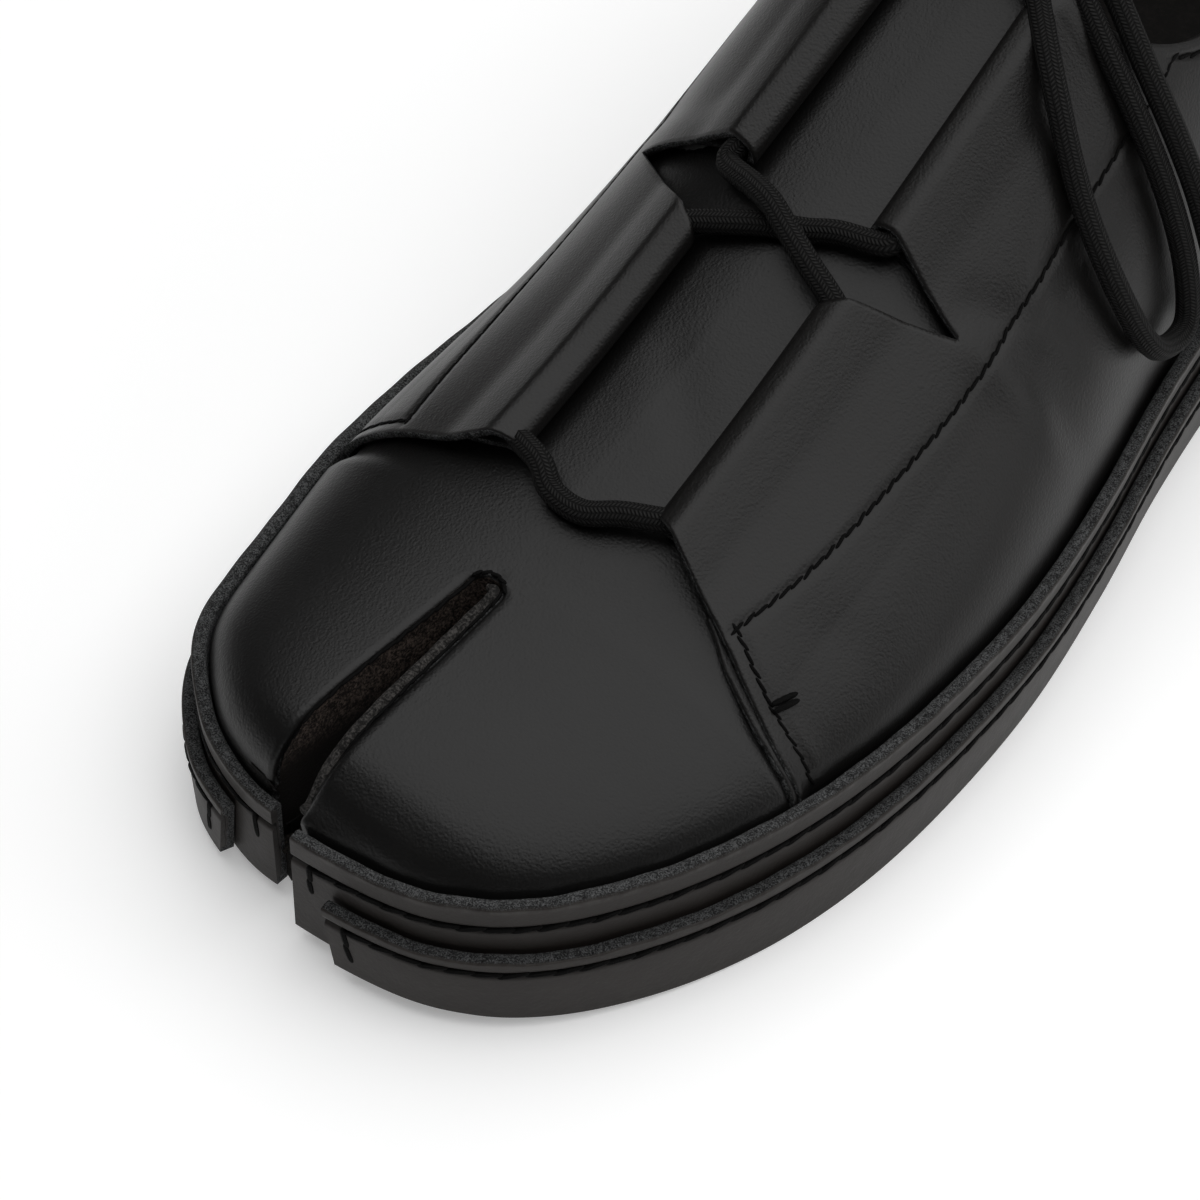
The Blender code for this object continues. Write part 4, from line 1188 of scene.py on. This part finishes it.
# Free parts of the bow: two loops and two ends of the same lace, which come out of the knot and hang limp
# down the sides of the shoe. Their routes run from the knot outwards.
BOW = {
    "lace_loop_lateral": (
        (16.6, 141, 72.8), (20, 137, 70), (28.6, 128.9, 65.4), (36.6, 124.4, 54.4),
        (44, 122.4, 44.8), (48.6, 124.6, 34.6), (49, 129.8, 29.6), (48.4, 135, 30),
        (45.9, 136.9, 38.2), (41.7, 137.2, 48.6), (35.7, 138, 57.8), (29.8, 139.4, 64.2),
        (23.6, 141.8, 69.4), (17, 144.6, 73)),
    "lace_end_lateral": (
        (15.2, 148.4, 75), (21.5, 146.6, 73.4), (28, 144, 68.6), (34, 142, 62.6),
        (39.8, 140.8, 55.6), (44.6, 140.3, 47.6), (48, 140.4, 38.6), (49.6, 142, 29.6),
        (50.2, 144.5, 23)),
    "lace_loop_medial": (
        (4.2, 141.2, 73), (-3.5, 142.4, 70.2), (-12, 144, 65), (-19.5, 146, 57),
        (-25.8, 148, 47), (-29.6, 150, 37), (-31.4, 154, 30), (-31.4, 159, 30),
        (-30.4, 162, 37), (-27.2, 161, 47), (-22, 157.5, 57), (-14.5, 152.5, 64.5),
        (-5, 147.6, 70.6), (4, 144.8, 73.6)),
    "lace_end_medial": (
        (6, 148.6, 75.6), (-1, 152, 74.4), (-8.5, 156, 69.6), (-16, 160.2, 62.4),
        (-22.6, 164.4, 53.4), (-27.6, 167.4, 43.4), (-30.2, 169.8, 33.4), (-31, 171.6, 25)),
}


def in_frame(point):
    """A place in the frame's metres."""
    return tuple((Vector(point) - ORIGIN) * MM)


for node, route in BOW.items():
    cord_mesh = bmesh.new()
    line = lace(cord_mesh, route)
    close_ends(cord_mesh)
    cord = finish_piece(cord_mesh, node + "_cord", "lace_cotton", [lace_cotton], node)

# Floor, light and camera: a white studio ground that glows a little, so that shadows stay pale, a wide soft
# light from above with a weak one from the side, and the photograph's long lens.
WHITE = (1.0, 1.0, 1.0, 1.0)
GLOW = {"Roughness": 0.9, "Specular IOR Level": 0.1, "Emission Color": WHITE, "Emission Strength": 0.30}
ground, ground_shader, ground_mm = start_finish("studio_ground", GLOW)
shade = ground_mm.noise(0.01).mix((0.86, 0.86, 0.86), (0.88, 0.88, 0.88))
ground.node_tree.links.new(shade.socket, ground_shader.inputs["Base Color"])
floor_mesh = bmesh.new()
bmesh.ops.create_grid(floor_mesh, x_segments=4, y_segments=4, size=3.0)
floor_data = bpy.data.meshes.new("studio_floor")
floor_mesh.to_mesh(floor_data)
floor_mesh.free()
floor_data.materials.append(ground)
stand("studio_floor", floor_data)

world = bpy.data.worlds.new("studio")
world.use_nodes = True
world.node_tree.nodes["Background"].inputs["Color"].default_value = WHITE
world.node_tree.nodes["Background"].inputs["Strength"].default_value = 0.03
scene.world = world
scene.view_settings.view_transform = "Standard"

# Each light: name, place and aim in the frame's metres, size and power
LIGHTS = (
    ("ceiling_softbox", (0.25, 0.9, 2.0), (0.25, 0.9, 0.0), 3.7, 73.0),
    ("side_fill", (2.0, 1.0, 1.0), (0.0, 0.0, 0.03), 1.2, 8.0),
)
for name, place, aim, size, power in LIGHTS:
    lamp = bpy.data.lights.new(name, "AREA")
    lamp.shape = "SQUARE"
    lamp.size = size
    lamp.energy = power
    lit = stand(name, lamp)
    lit.location = place
    lit.rotation_euler = (Vector(aim) - Vector(place)).to_track_quat("-Z", "Y").to_euler()

AZIMUTH = math.radians(38.0)
ELEVATION = math.radians(50.0)
SENSOR = 36.0
PHOTO_WIDTH = 1200.0
FOCAL_PIXELS = 5460.0
EYE = (291.1, -302.0, 560.4)
camera_data = bpy.data.cameras.new("photo_camera")
camera_data.sensor_width = SENSOR
camera_data.sensor_fit = "HORIZONTAL"
camera_data.lens = SENSOR * FOCAL_PIXELS / PHOTO_WIDTH
camera = stand("photo_camera", camera_data)
camera.location = in_frame(EYE)
camera.rotation_euler = (math.pi / 2.0 - ELEVATION, 0.0, AZIMUTH)
scene.camera = camera
